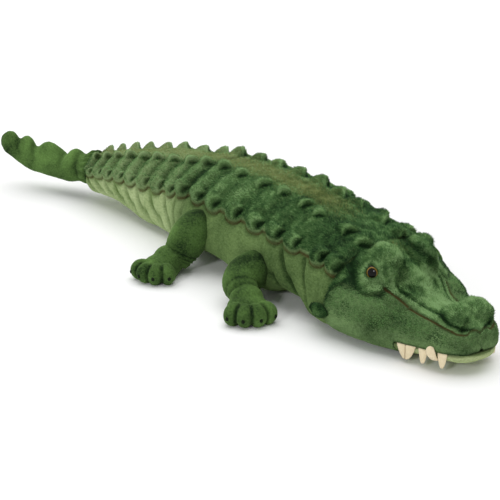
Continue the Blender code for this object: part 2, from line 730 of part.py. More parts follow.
def dome(name, centre, direction, radius, depth, colour=None):
    """A flattened ball that faces along a direction."""
    bm = bmesh.new()
    bmesh.ops.create_uvsphere(bm, u_segments=EYE_SEGMENT_COUNT, v_segments=EYE_RING_COUNT, radius=1.0)
    turn = direction.to_track_quat("Z", "Y").to_matrix().to_4x4()
    bm.transform(Matrix.Translation(centre) @ turn @ Matrix.Diagonal((radius, radius, depth, 1.0)))
    return mesh_object(name, bm, colour, EYE_ROUGHNESS)


def make_eye(head, side, name):
    """An eye with its shank and washer, and the places for them in the head's stuffing."""
    centre, look = eye_frame(side)
    radius = EYE_DIAMETER / 2
    depth = EYE_DOME_SHARE * EYE_DIAMETER
    shank = SHANK_DIAMETER / 2
    wide = WASHER_DIAMETER / 2
    front = -WASHER_DEPTH_SHARE * SHANK_LENGTH
    back = front - WASHER_THICKNESS
    eye = dome(f"{name}_eye", centre, look, radius, depth, AMBER)
    stem = round_bar(f"{name}_shank", centre, look, shank, -SHANK_LENGTH, 0.0, SHANK_SIDE_COUNT)
    combine(eye, as_helper(stem), "UNION")
    washer = round_bar(f"{name}_eye_washer", centre, look, wide, front, back, WASHER_SIDE_COUNT, BLACK)
    hole = round_bar(f"{name}_washer_hole", centre, look, shank + SEAT_GAP, 2 * back, 0.0, SHANK_SIDE_COUNT)
    combine(washer, as_helper(hole), "DIFFERENCE")
    seat = dome(f"{name}_eye_seat", centre, look, radius + SEAT_GAP, depth + SEAT_GAP)
    bore = round_bar(f"{name}_shank_hole", centre, look, shank + SEAT_GAP, -SHANK_LENGTH - SEAT_GAP,
                     0.0, SHANK_SIDE_COUNT)
    pocket = round_bar(f"{name}_washer_pocket", centre, look, wide + SEAT_GAP, front + SEAT_GAP,
                       back - SEAT_GAP, WASHER_SIDE_COUNT)
    for cutter in (seat, bore, pocket):
        combine(head, as_helper(cutter), "DIFFERENCE")


def make_head():
    places = [share * (HEAD_LENGTH - SEAT_GAP) for share in HEAD_PLACE_SHARES]
    head = mesh_object("head", loft(head_rings(places)), MID_GREEN)
    combine(head, jaw_block("mouth_cut", JAW_GAP), "DIFFERENCE")
    inside = [s for s in places if 0.0 < s <= JAW_LENGTH + JAW_THICKNESS]
    jaw = mesh_object("lower_jaw", loft(head_rings(inside, LIP_OVERHANG)), LIGHT_GREEN)
    combine(jaw, jaw_block("jaw_shape", 0.0), "INTERSECT")
    make_eye(head, 1, "left")
    make_eye(head, -1, "right")


def lip_place(s, side, height):
    """A point on the skin beside the mouth at that height."""
    wide, top, mid, low = section(s)
    angle = math.atan2(height - mid, wide)
    return along(s, side * reach(s, angle) * math.cos(angle), height)


def lip_frame(s, side):
    """The point of the lip at s, the way the lip runs there, and the level way out from it."""
    step = LIP_OVERHANG / 2
    point = lip_place(s, side, mouth_height(s))
    ahead, behind = [lip_place(at, side, mouth_height(at)) for at in (s - step, s + step)]
    run = (ahead - behind).normalized()
    out = Vector((0.0, 0.0, side)).cross(run).normalized()
    return point, run, out


def tooth(name, path, widths, run):
    """A flat round-tipped tooth through rings along a path."""
    rings = []
    for i, point in enumerate(path):
        ahead = (path[min(i + 1, len(path) - 1)] - path[max(i - 1, 0)]).normalized()
        across = ahead.cross(run).normalized()
        wide = widths[i] / 2
        deep = min(TOOTH_THICKNESS / 2, wide)
        rings.append([point + run * wide * math.cos(a) + across * deep * math.sin(a)
                      for a in (2 * math.pi * k / TOOTH_SIDE_COUNT for k in range(TOOTH_SIDE_COUNT))])
    return mesh_object(name, loft(rings), CREAM)


def make_teeth():
    """Upper teeth that hang from the overhanging lip, and a lower one that stands outside it."""
    upper_inset = (LIP_OVERHANG - TOOTH_GAP) / 2
    for side, end in ((1, "left"), (-1, "right")):
        for kind, share, down in TOOTH_SHARES:
            s = share * JAW_LENGTH
            point, run, out = lip_frame(s, side)
            lip_depth = LIP_OVERHANG * abs(out.dot(along(s, 1.0, 0.0) - along(s, 0.0, 0.0)))
            path = []
            for way, _ in TOOTH_TAPER_SHARES:
                if down > 0:
                    proud = -upper_inset
                    rise = -SEAT_GAP - way * TOOTH_LENGTH
                    base = point
                else:
                    bend = min(1.0, way / LOWER_TOOTH_BEND_SHARE)
                    proud = TOOTH_THICKNESS / 2 + TOOTH_GAP * bend + (SEAT_GAP - lip_depth) * (1 - bend)
                    rise = (way - LOWER_TOOTH_ROOT_SHARE) * TOOTH_LENGTH
                    base = lip_place(s, side, point.z + min(rise, 0.0))
                    base.z = point.z
                path.append(base + out * proud + Vector((0.0, 0.0, rise)))
            wide = WEDGE_TOOTH_WIDTH if kind == "wedge" else TOOTH_WIDTH
            tooth(f"{end}_{kind}_tooth", path, [wide * taper for _, taper in TOOTH_TAPER_SHARES], run)


def ellipsoid(name, centre, radii, yaw, colour=None):
    """A flat-bottomed swelling that rests on the floor."""
    bm = bmesh.new()
    bmesh.ops.create_uvsphere(bm, u_segments=FOOT_SEGMENT_COUNT, v_segments=FOOT_RING_COUNT, radius=1.0)
    bm.transform(Matrix.Translation(centre) @ Matrix.Rotation(yaw, 4, "Z") @ Matrix.Diagonal((*radii, 1.0)))
    for vert in bm.verts:
        vert.co.z = max(vert.co.z, 0.0)
    bmesh.ops.dissolve_degenerate(bm, dist=MERGE_DISTANCE, edges=bm.edges)
    return mesh_object(name, bm, colour)


def make_leg(name):
    """A leg with its ball in the flank, and a foot with toes on the leg's end."""
    path, foot_way = leg_path(name)
    thick = FRONT_LEG_DIAMETER if name.startswith("front") else REAR_LEG_DIAMETER
    radii = [(share * thick + (1 - share) * ANKLE_DIAMETER) / 2 for share in LEG_TAPER_SHARES]
    leg = tube(f"{name}_leg", path, radii, MID_GREEN)
    radius = LEG_BALL_DIAMETER / 2
    combine(leg, ball(f"{name}_ball", path[0], radius, radius, LEG_BALL_SEGMENT_COUNT), "UNION")

    middle = path[-1] + foot_way * FOOT_AHEAD_SHARE * FOOT_LENGTH
    middle.z = FOOT_RISE_SHARE * FOOT_HEIGHT
    yaw = math.atan2(foot_way.y, foot_way.x)
    long, wide, high = FOOT_SHARES
    foot = ellipsoid(f"{name}_foot", middle, (long * FOOT_LENGTH, wide * FOOT_LENGTH, high * FOOT_HEIGHT),
                     yaw, MID_GREEN)
    side = 1 if name.endswith("left") else -1
    for number, degrees in enumerate(TOE_FAN_DEGREES):
        turn = yaw + side * math.radians(degrees)
        place = middle + Vector((math.cos(turn), math.sin(turn), 0.0)) * TOE_AHEAD_SHARE * FOOT_LENGTH
        place.z = TOE_RISE_SHARE * TOE_HEIGHT
        toe = ellipsoid(f"{name}_toe_{number + 1}", place,
                        (TOE_LENGTH / 2, TOE_WIDTH / 2, TOE_HEIGHT - place.z), turn)
        combine(foot, as_helper(toe), "UNION")
    end = path[-1] + (path[-1] - path[-2]).normalized() * SEAT_GAP
    grown = [radius + SEAT_GAP for radius in radii]
    ankle = tube(f"{name}_ankle", path + [end], grown + grown[-1:])
    combine(foot, ankle, "DIFFERENCE")
    clear = ball(f"{name}_foot_clear", path[0], radius + SEAT_GAP, radius + SEAT_GAP, LEG_BALL_SEGMENT_COUNT)
    combine(foot, clear, "DIFFERENCE")


def hang_on(names, pivot):
    """Puts the origins of a moving body's pieces on the line that it turns on."""
    for name in names:
        thing = bpy.data.objects[name]
        thing.data.transform(Matrix.Translation(-pivot))
        thing.location = pivot


def set_origins():
    upper = [f"{side}_{kind}" for side in ("left", "right")
             for kind in ("eye", "eye_washer", "wedge_tooth", "small_tooth", "front_tooth")]
    hang_on(["neck", "neck_hide", "head"] + upper, along(NECK_JOINT, 0.0, 0.0))
    hang_on(["lower_jaw", "left_lower_tooth", "right_lower_tooth"], jaw_hinge())
    hang_on(["tail_root", "tail_root_hide"], along(HIP_JOINT, 0.0, 0.0))
    hang_on(["tail_tip"], along(TAIL_JOINT, 0.0, 0.0))
    for name in LEGS:
        hang_on([f"{name}_leg", f"{name}_foot"], leg_path(name)[0][0])


def main():
    clear_scene()
    make_trunk()
    make_neck()
    make_tail()
    make_head()
    make_teeth()
    for name in LEGS:
        make_leg(name)
    set_origins()


main()
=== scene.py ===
# %% [markdown]
# A plush crocodile about a metre long, lying on its belly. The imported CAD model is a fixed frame:
# it says how big every stuffed part is and how the parts move. This lesson dresses that frame in
# short-pile plush, felt teeth and glossy plastic eyes.

# %% Load the frame
import math

import bmesh
import bpy
import numpy as np
from mathutils import Matrix, Vector


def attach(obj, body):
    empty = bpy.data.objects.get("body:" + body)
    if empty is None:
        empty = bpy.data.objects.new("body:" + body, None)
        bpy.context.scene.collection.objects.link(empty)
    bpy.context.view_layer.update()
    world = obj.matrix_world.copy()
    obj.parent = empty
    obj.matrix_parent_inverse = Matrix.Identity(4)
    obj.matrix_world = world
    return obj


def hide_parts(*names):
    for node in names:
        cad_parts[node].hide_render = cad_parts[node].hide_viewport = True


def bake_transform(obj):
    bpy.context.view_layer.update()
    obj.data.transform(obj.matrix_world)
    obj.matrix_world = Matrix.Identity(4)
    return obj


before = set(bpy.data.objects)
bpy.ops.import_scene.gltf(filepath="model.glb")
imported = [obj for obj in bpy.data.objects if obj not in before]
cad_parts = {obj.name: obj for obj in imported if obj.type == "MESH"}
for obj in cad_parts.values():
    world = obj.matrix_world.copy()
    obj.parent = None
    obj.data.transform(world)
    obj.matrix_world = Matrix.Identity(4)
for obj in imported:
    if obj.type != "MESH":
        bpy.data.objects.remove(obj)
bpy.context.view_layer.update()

MM = 0.001
DETAIL = 1.0

# %% [markdown]
# The stuffed body is one long bag of changing section. It is worked out in a straightened space:
# s runs from the nose along the back, left is the distance to the crocodile's left, and the third
# number is the height. Every puff and seam is sculpted there, alike on both sides, and the whole is
# bent along the curved back at the end. The table repeats the sections of the part's source.

# %% The body's sections
STATIONS = MM * np.array([
    (0.00, 4.00, 50.16, 37.62, 28.50), (2.05, 22.00, 63.84, 37.62, 13.68),
    (8.20, 33.00, 71.82, 37.62, 6.84), (20.50, 42.00, 76.38, 37.62, 3.42),
    (41.00, 50.00, 71.82, 36.48, 1.71), (71.75, 60.00, 68.40, 36.48, 1.14),
    (102.50, 72.00, 75.24, 36.48, 0.91), (133.25, 86.00, 93.48, 35.34, 0.91),
    (168.10, 96.00, 107.16, 35.34, 0.91), (205.00, 100.00, 114.00, 35.34, 0.91),
    (235.15, 99.00, 120.28, 37.20, 0.74), (272.00, 97.00, 125.24, 37.20, 0.50),
    (330.00, 97.00, 133.17, 41.40, -0.55), (402.50, 100.00, 138.00, 41.40, -0.55),
    (475.00, 100.00, 137.31, 41.40, -0.55), (562.00, 93.00, 131.10, 42.78, 0.55),
    (631.00, 77.22, 119.18, 40.12, 2.12), (700.00, 69.03, 107.97, 41.30, 4.01),
    (769.00, 55.38, 93.22, 44.84, 8.02), (838.00, 38.22, 76.70, 43.66, 8.97),
    (879.36, 30.02, 71.20, 45.02, 20.20), (911.32, 24.32, 61.68, 42.98, 24.96),
    (939.52, 20.52, 62.02, 44.00, 27.00), (965.84, 17.10, 68.14, 48.08, 29.38),
    (995.92, 14.06, 78.00, 59.98, 42.98), (1014.72, 9.88, 82.08, 69.16, 56.92),
    (1026.00, 1.52, 75.96, 71.88, 67.80)])
HEAD_END, NECK_JOINT, HIP_JOINT, TAIL_JOINT, TAIL_END = 0.205, 0.272, 0.562, 0.838, 1.026
CUFF = 0.850
ORIGIN_S = 0.43005
HEAD_TURN, TAIL_TURN = math.radians(3.4), math.radians(36.5)
ROUND_TOP, ROUND_BELLY = 2.0, 3.3
BROW = ((0.16195, 0.02845, 0.09486), (0.033, 0.021, 0.033))
NOSTRIL = ((0.03075, 0.01856, 0.06703), (0.022, 0.018, 0.017))


def station_slopes():
    """Slopes at the stations that never overshoot, as in the part's source."""
    s, values = STATIONS[:, 0], STATIONS[:, 1:]
    steps = np.diff(values, axis=0) / np.diff(s)[:, None]
    slopes = np.zeros_like(values)
    before, after = steps[:-1], steps[1:]
    same = before * after > 0
    slopes[1:-1][same] = (2 * before * after)[same] / (before + after)[same]
    return slopes


SLOPES = station_slopes()


def section(s):
    """Half-width, top, widest height and underside of the body at each s."""
    s = np.clip(s, 0.0, TAIL_END)
    i = np.clip(np.searchsorted(STATIONS[:, 0], s, side="right") - 1, 0, len(STATIONS) - 2)
    step = STATIONS[i + 1, 0] - STATIONS[i, 0]
    t = ((s - STATIONS[i, 0]) / step)[..., None]
    a, b = STATIONS[i, 1:], STATIONS[i + 1, 1:]
    value = a * (1 + 2 * t) * (1 - t) ** 2 + b * (3 - 2 * t) * t * t
    value += step[..., None] * (SLOPES[i] * t * (1 - t) ** 2 - SLOPES[i + 1] * t * t * (1 - t))
    return np.moveaxis(value, -1, 0)


def heading(s):
    """The way the back faces at s, in radians from +X."""
    head = -HEAD_TURN * np.clip((NECK_JOINT - s) / (NECK_JOINT - HEAD_END), 0.0, 1.0)
    return head + TAIL_TURN * np.clip((s - HIP_JOINT) / (TAIL_END - HIP_JOINT), 0.0, None)


SPINE_S = np.linspace(0.0, TAIL_END, 401)
SPINE_STEP = SPINE_S[1]
SPINE_TURNS = heading(SPINE_S[:-1] + SPINE_STEP / 2)
SPINE_X = np.concatenate([[0.0], -np.cumsum(np.cos(SPINE_TURNS)) * SPINE_STEP])
SPINE_Y = np.concatenate([[0.0], -np.cumsum(np.sin(SPINE_TURNS)) * SPINE_STEP])
SPINE_X -= np.interp(ORIGIN_S, SPINE_S, SPINE_X)
SPINE_Y -= np.interp(ORIGIN_S, SPINE_S, SPINE_Y)


def bend(points):
    """Straightened points (s, left, height) at their places in the row frame."""
    s, left, high = points[..., 0], points[..., 1], points[..., 2]
    way = heading(s)
    over = np.minimum(s, 0.0)
    x = np.interp(s, SPINE_S, SPINE_X) - np.sin(way) * left - over * np.cos(way)
    y = np.interp(s, SPINE_S, SPINE_Y) + np.cos(way) * left - over * np.sin(way)
    return np.stack([x, y, high], -1)


def bend_way(s, ways):
    """Straightened directions turned into the row frame."""
    way = heading(s)
    x = -ways[..., 0] * np.cos(way) - ways[..., 1] * np.sin(way)
    y = -ways[..., 0] * np.sin(way) + ways[..., 1] * np.cos(way)
    return np.stack([x, y, ways[..., 2]], -1)


def mound_reach(s, angle, mid, mound):
    """How far a ray from the middle of the section goes before it leaves a mound, or 0."""
    (centre_s, centre_left, centre_z), (long, wide, high) = mound
    size = np.sqrt(np.clip(1 - ((s - centre_s) / long) ** 2, 1e-9, None))
    ray = np.cos(angle) / (wide * size), np.sin(angle) / (high * size)
    to = centre_left / (wide * size), (centre_z - mid) / (high * size)
    a = ray[0] ** 2 + ray[1] ** 2
    b = ray[0] * to[0] + ray[1] * to[1]
    under = b * b - a * (to[0] ** 2 + to[1] ** 2 - 1)
    found = np.where(under > 0, (b + np.sqrt(np.clip(under, 0, None))) / a, 0.0)
    return np.where(size > 1e-3, np.clip(found, 0, None), 0.0)


def reach(s, angle):
    """The radius of the bare stuffed body at s, in that direction round it."""
    wide, top, mid, low = section(s)
    across, up = np.cos(angle), np.sin(angle)
    high = np.where(up >= 0, top - mid, mid - low)
    power = np.where(up >= 0, ROUND_TOP, ROUND_BELLY)
    radius = ((np.abs(across) / wide) ** power + (np.abs(up) / high) ** power) ** (-1 / power)
    side = np.arctan2(up, np.abs(across))
    for mound in (BROW, NOSTRIL):
        bulge = np.where((s < HEAD_END) & (up > 0), mound_reach(s, side, mid, mound), 0.0)
        soft = 0.20 * radius
        share = np.clip(soft - np.abs(radius - bulge), 0, None) / soft
        radius = np.where(bulge > 0, np.maximum(radius, bulge) + share * share * soft / 4, radius)
    return radius


def bare(s, angle):
    """Straightened points of the bare body."""
    s, angle = np.broadcast_arrays(s, angle)
    radius, mid = reach(s, angle), section(s)[2]
    return np.stack([s, radius * np.cos(angle),
                     np.clip(mid + radius * np.sin(angle), 0, None)], -1)


def unit(v):
    """The same directions with a length of 1."""
    return v / np.maximum(np.linalg.norm(v, axis=-1, keepdims=True), 1e-12)


def facing(s, angle):
    """Unit directions straight out of the bare body, and along it towards the tail."""
    ds, da = 0.0012, 0.012
    behind, ahead = bare(s + ds, angle), bare(np.maximum(s - ds, 0.0), angle)
    round_way = bare(s, angle + da) - bare(s, angle - da)
    out = unit(np.cross(round_way, behind - ahead))
    return out, unit(behind - ahead)


def folded(points):
    """Straightened points with the right side folded onto the left one."""
    return np.stack([points[..., 0], np.abs(points[..., 1]), points[..., 2]], -1)


print("sections:", len(STATIONS), "spine points:", len(SPINE_S))

# %% [markdown]
# Pile and stuffing are never even. Two helpers give smooth random values over space, from a fixed
# lattice so that every run is the same, and soft steps and bells for seams and folds.

# %% Random values and soft steps


def noise(points, cell, seed):
    """Smooth random values from -1 to 1 that change over about one cell."""
    q = points / cell + 31.7
    low = np.floor(q).astype(np.int64)
    f = q - low
    f = f * f * (3 - 2 * f)
    total = 0.0
    for corner in range(8):
        bits = [(corner >> k) & 1 for k in range(3)]
        n = seed * 40503
        for k, prime in enumerate((73856093, 19349663, 83492791)):
            n = n ^ ((low[..., k] + bits[k]) * prime)
        n = ((n ^ (n >> 13)) * 1274126177) & 0x7FFFFFFF
        n = ((n ^ (n >> 15)) * 668265263) & 0x7FFFFFFF
        value = ((n >> 7) & 0xFFFF) / 32767.5 - 1
        weight = 1.0
        for k in range(3):
            weight = weight * (f[..., k] if bits[k] else 1 - f[..., k])
        total = total + value * weight
    return total


def clumps(points, cell, seed, layers=3):
    """Noise in several sizes, each half as big and half as strong as the last."""
    return sum(noise(points, cell / 2 ** k, seed + k) / 2 ** k for k in range(layers)) / 1.75


def step(x, start, stop):
    """0 before start, 1 after stop, smooth between."""
    t = np.clip((x - start) / (stop - start), 0, 1)
    return t * t * (3 - 2 * t)


def bell(x, width):
    """1 at 0, falling smoothly to nothing a few widths away."""
    return np.exp(-(x / width) ** 2)


def line_distance(points, line):
    """Distance from straightened points to a line of points in millimetres, alike on both sides."""
    p = folded(points)
    line = MM * np.array(line, float)
    best = np.full(p.shape[:-1], 1.0)
    for a, b in zip(line[:-1], line[1:]):
        along = b - a
        t = np.clip(((p - a) @ along) / (along @ along), 0, 1)[..., None]
        best = np.minimum(best, np.linalg.norm(p - a - t * along, axis=-1))
    return best


print("noise sample:", np.round(noise(np.array([[0.1, 0.2, 0.3]]), 0.01, 1), 3))

# %% [markdown]
# Meshes are written straight from arrays: a grid of points for each sheet of cloth, closed at its
# ends, with a number for each point that says where the cloth is olive or seamed, and where shade
# or a highlight is painted on it.

# %% Making meshes from grids


def make_object(name, points, faces, marks=None, way=None):
    """An object from points and lists of faces, with named values at its points."""
    mesh = bpy.data.meshes.new(name)
    corners = np.concatenate([np.asarray(f).ravel() for f in faces])
    sizes = np.concatenate([np.full(len(f), np.asarray(f).shape[1]) for f in faces])
    mesh.vertices.add(len(points))
    mesh.vertices.foreach_set("co", np.ascontiguousarray(points, np.float32).ravel())
    mesh.loops.add(len(corners))
    mesh.loops.foreach_set("vertex_index", corners.astype(np.int32))
    mesh.polygons.add(len(sizes))
    starts = np.concatenate([[0], np.cumsum(sizes)[:-1]]).astype(np.int32)
    mesh.polygons.foreach_set("loop_start", starts)
    mesh.update(calc_edges=True)
    mesh.shade_smooth()
    for key, values in (marks or {}).items():
        layer = mesh.attributes.new(key, "FLOAT", "POINT")
        layer.data.foreach_set("value", np.ascontiguousarray(values, np.float32).ravel())
    if way is not None:
        mesh.normals_split_custom_set_from_vertices(way)
    thing = bpy.data.objects.new(name, mesh)
    bpy.context.scene.collection.objects.link(thing)
    return thing


def grid_faces(rows, columns, wrap, flip=False, start=0):
    """Quads between neighbouring points of a grid, facing outwards on this body."""
    i = np.arange(rows - 1)[:, None]
    j = np.arange(columns if wrap else columns - 1)[None, :]
    k = (j + 1) % columns
    quads = np.stack([i * columns + j, (i + 1) * columns + j,
                      (i + 1) * columns + k, i * columns + k], -1).reshape(-1, 4) + start
    return quads[:, ::-1] if flip else quads


def cap_faces(ring, middle, flip=False):
    """A fan of triangles from a ring of point numbers to a middle point."""
    ring = np.asarray(ring)
    fan = np.stack([ring, np.roll(ring, -1), np.full(len(ring), middle)], -1)
    return fan[:, ::-1] if flip else fan


def closed_tube(name, points, marks):
    """A closed object from rings of points, capped at both ends."""
    rows, columns = points.shape[:2]
    count = rows * columns
    faces = [grid_faces(rows, columns, True),
             cap_faces(np.arange(columns), count),
             cap_faces(np.arange(count - columns, count), count + 1, True)]
    marks = {k: np.concatenate([v.ravel(), v[0].mean()[None], v[-1].mean()[None]])
             for k, v in marks.items()}
    ends = points[0].mean(0), points[-1].mean(0)
    return make_object(name, np.concatenate([points.reshape(-1, 3), ends]), faces, marks)


def closed_sheet(name, top, under, marks, flip=False):
    """A sheet of cloth with real thickness: two grids of points, joined all round the border."""
    rows, columns = top.shape[:2]
    count = rows * columns
    at = np.arange(count).reshape(rows, columns)
    rim = np.concatenate([at[0, :-1], at[:-1, -1], at[-1, :0:-1], at[:0:-1, 0]])
    after = np.roll(rim, -1)
    border = np.stack([rim, after, after + count, rim + count], -1)
    faces = [grid_faces(rows, columns, False, flip),
             grid_faces(rows, columns, False, not flip, count), border[:, ::-1] if flip else border]
    points = np.concatenate([bend(top).reshape(-1, 3), bend(under).reshape(-1, 3)])
    return make_object(name, points, faces, {k: np.tile(v.ravel(), 2) for k, v in marks.items()})


def melted(thing, voxel, rounds):
    """Points, normals and faces of a mesh melted into one skin and relaxed; the object goes."""
    bpy.context.scene.collection.objects.link(thing)
    melt = thing.modifiers.new("melt", "REMESH")
    melt.mode, melt.voxel_size = "VOXEL", voxel
    relax = thing.modifiers.new("relax", "SMOOTH")
    relax.factor, relax.iterations = 0.5, rounds
    done = thing.evaluated_get(bpy.context.evaluated_depsgraph_get()).to_mesh()
    found = []
    for key in ("co", "normal"):
        values = np.zeros(len(done.vertices) * 3)
        done.vertices.foreach_get(key, values)
        found.append(values.reshape(-1, 3))
    faces = [[p.vertices[:] for p in done.polygons if len(p.vertices) == k] for k in (3, 4)]
    bpy.data.objects.remove(thing)
    return *found, [np.array(f) for f in faces if f]


def spread(start, stop, cell):
    return np.linspace(start, stop, max(2, int(round(abs(stop - start) / (cell * DETAIL))) + 1))


# %% [markdown]
# The back hide is the showpiece: two rows of tall knobs beside an olive stripe, two rows of lower
# knobs above a scalloped seam, and a soft pleat from each high knob down to its low one. Each knob
# is a hood: the cloth rises gently from behind, is pushed over towards the head and down the side,
# and ends in a lip with a pocket under it. Painted shade darkens the pocket, and a painted
# highlight lightens the rim.

# %% Where the knobs and the scalloped seam are
KNOB_S = MM * np.array([215.7, 251.9, 308.2, 346.0, 389.5, 438.8, 488.1, 531.5, 578.6, 615.8,
                        658.6, 697.2, 731.7, 762.1, 791.1, 815.9, 838.5])
INNER_DEGREES, SIDE_DEGREES = (71.0, 62.0), (38.0, 24.0)
KNOB_LONG, KNOB_WIDE = 0.0265, 0.0240
SCALLOP_LONG, SCALLOP_DROP = 0.034, 0.0096
INNER_HIGH, SIDE_HIGH = 0.0086, 0.0096
INNER_OPENS, SIDE_OPENS = math.radians(32), math.radians(14)
FIRST_KNOBS, FIRST_SHADE = 0.23, 0.35
HIDE_THICK = 0.0036
SCALLOP = 0.0085
NECK_FOLDS = 0.298
CHEST_LIFT, TAIL_LIFT, TAIL_PINCH, BELLY_ARCH = 0.021, 0.011, 0.006, 0.019
LIFT_FADES = 0.062
FLOOR_GAP = 0.0004


def row_angle(s, degrees):
    """The angle of a row of knobs, which sinks from the hip to the tail."""
    share = np.clip((s - HIP_JOINT) / (TAIL_JOINT - HIP_JOINT), 0, 1)
    return np.radians(degrees[0] + (degrees[1] - degrees[0]) * share)


def knob_size(s):
    """Knobs shrink with the body's width."""
    return 0.42 + 0.58 * np.minimum(1.0, section(s)[0] / 0.100)


def seam_angle(s):
    """The angle of the hide's lower edge, which dips in a scallop round each low knob."""
    dip = 0.0
    for centre in KNOB_S:
        size = knob_size(np.array(centre))
        back = (s - centre) / (SCALLOP_LONG * size / 2)
        dip = np.maximum(dip, SCALLOP * size * np.sqrt(np.clip(1 - back * back, 0, None)))
    return row_angle(s, SIDE_DEGREES) - (SCALLOP_DROP + dip) / section(s)[0]


def cusp_bell(s, width):
    """1 at the points between scallops, where the pale cloth is gathered."""
    cusps = list((KNOB_S[1:] + KNOB_S[:-1]) / 2) + [CUFF]
    return np.max([bell(s - cusp, width) for cusp in cusps], axis=0)


def knob_shapes():
    """Each knob: its s, angle, height, half-length, half-width and the way its hood opens."""
    rng = np.random.default_rng(11)
    found = []
    for s in KNOB_S:
        size = float(knob_size(np.array(s)))
        for degrees, high, opens in ((INNER_DEGREES, INNER_HIGH, INNER_OPENS),
                                     (SIDE_DEGREES, SIDE_HIGH, SIDE_OPENS)):
            angle = float(row_angle(np.array(s), degrees))
            for side in (angle, math.pi - angle):
                wobble = rng.uniform(-1, 1, 5)
                found.append((s + 0.0020 * wobble[0], side, high * size * (1 + 0.18 * wobble[1]),
                              0.5 * KNOB_LONG * size * (1 + 0.12 * wobble[2]),
                              0.5 * KNOB_WIDE * size * (0.92 + 0.14 * wobble[3]),
                              opens + 0.25 * wobble[4]))
    return found


KNOBS = knob_shapes()
print("knobs:", len(KNOBS))

# %% [markdown]
# The sculpting moves every point of the bare body outwards or inwards: the hide's knobs and pleats,
# the gathers under its seam, and the places where the toy is sewn together. The same function
# serves both cloths, so that they meet in one seam.

# %% Sculpting the back and flanks


def raise_knobs(points):
    """Moves points of the hide into hoods, and gives masks for the painted highlight on their rims
    and the painted shade in their pockets.
    """
    moved = np.zeros_like(points)
    rim = np.zeros(points.shape[:-1])
    pocket_shade = np.zeros(points.shape[:-1])
    uneven = clumps(points, 0.010, 33, 2)
    for s, angle, high, long, wide, opens in KNOBS:
        here = bare(np.array([s]), np.array([angle]))[0]
        normal, along = (v[0] for v in facing(np.array([s]), np.array([angle])))
        here = here + normal * HIDE_THICK
        across = np.cross(normal, along)
        if across[2] > 0:
            across = -across
        near = np.abs(points[..., 0] - s) < 2.4 * long
        away = points[near] - here
        a, b, off = -away @ along / long, away @ across / wide, away @ normal
        ahead = a * math.cos(opens) + b * math.sin(opens) + 0.14 * uneven[near]
        beside = (b * math.cos(opens) - a * math.sin(opens)) * (1 + 0.12 * uneven[near])
        inside = np.abs(off) < 0.02
        cap = np.clip(1 - (beside / (0.84 + 0.12 * step(ahead, -1, 0.5))) ** 2, 0, None) ** 0.6
        back = np.clip(1 - (np.minimum(ahead, 0) / 1.15) ** 2, 0, None) ** 0.7
        edge = 0.40 + 0.20 * (beside / 0.80) ** 2
        lift = cap * back * (1 - step(ahead, edge - 0.10, edge + 0.34)) * inside
        dip = bell(ahead - 0.86, 0.20) * bell(beside, 0.60) * inside
        over = -along * long * math.cos(opens) + across * wide * math.sin(opens)
        moved[near] += (high * (lift - 0.12 * dip))[:, None] * normal
        moved[near] += (0.16 * lift)[:, None] * over
        # A painted highlight on each knob's rim, and painted shade in the pocket under its lip.
        rim[near] = np.maximum(rim[near], bell(ahead - edge + 0.10, 0.22) * np.sqrt(cap) * inside)
        under = step(ahead, edge + 0.10, edge + 0.30) * (1 - step(ahead, 0.90, 1.20))
        shade = FIRST_SHADE if s < FIRST_KNOBS and abs(math.cos(angle)) > 0.6 else 1.0
        pocket_shade[near] = np.maximum(pocket_shade[near], shade * under * bell(beside, 0.62) * inside)
    return moved, rim, pocket_shade


def pleat_table():
    """Places of the pleats' valleys and ridges: steep on the side of the head, gentle behind."""
    places, heights = [0.0], [0.4]
    for before, at in zip(np.concatenate([[2 * KNOB_S[0] - KNOB_S[1]], KNOB_S]), KNOB_S):
        gap = at - before
        places += [at - 0.36 * gap, at - 0.10 * gap, at + 0.04 * gap]
        heights += [0.0, 1.0, 0.95]
    return np.array(places + [TAIL_END]), np.array(heights + [0.0])


PLEATS = pleat_table()


def pleat_height(s):
    """0 in a pleat's valley and 1 on its ridge."""
    x = np.interp(s, *PLEATS)
    return x * x * (3 - 2 * x)


def fold_depth(s):
    """How deep the gathers under the seam are: deepest at the neck, shallow on the trunk."""
    tail = 0.0034 * step(s, HIP_JOINT - 0.01, HIP_JOINT + 0.05)
    return 0.0062 * bell(s - NECK_FOLDS, 0.040) + 0.0007 + tail


def lift_low(s, points):
    """Draws the underside up at the chest, between the legs and at the tail's joint."""
    chest = CHEST_LIFT * step(s, 0.248, 0.276) * (1 - step(s, 0.315, 0.365))
    tail = TAIL_LIFT * step(s, 0.700, 0.785) * (1 - step(s, 0.850, 0.905))
    tail = tail + TAIL_PINCH * bell(s - 0.858, 0.012)
    return (chest + tail) * np.clip(1 - points[..., 2] / LIFT_FADES, 0, 1)


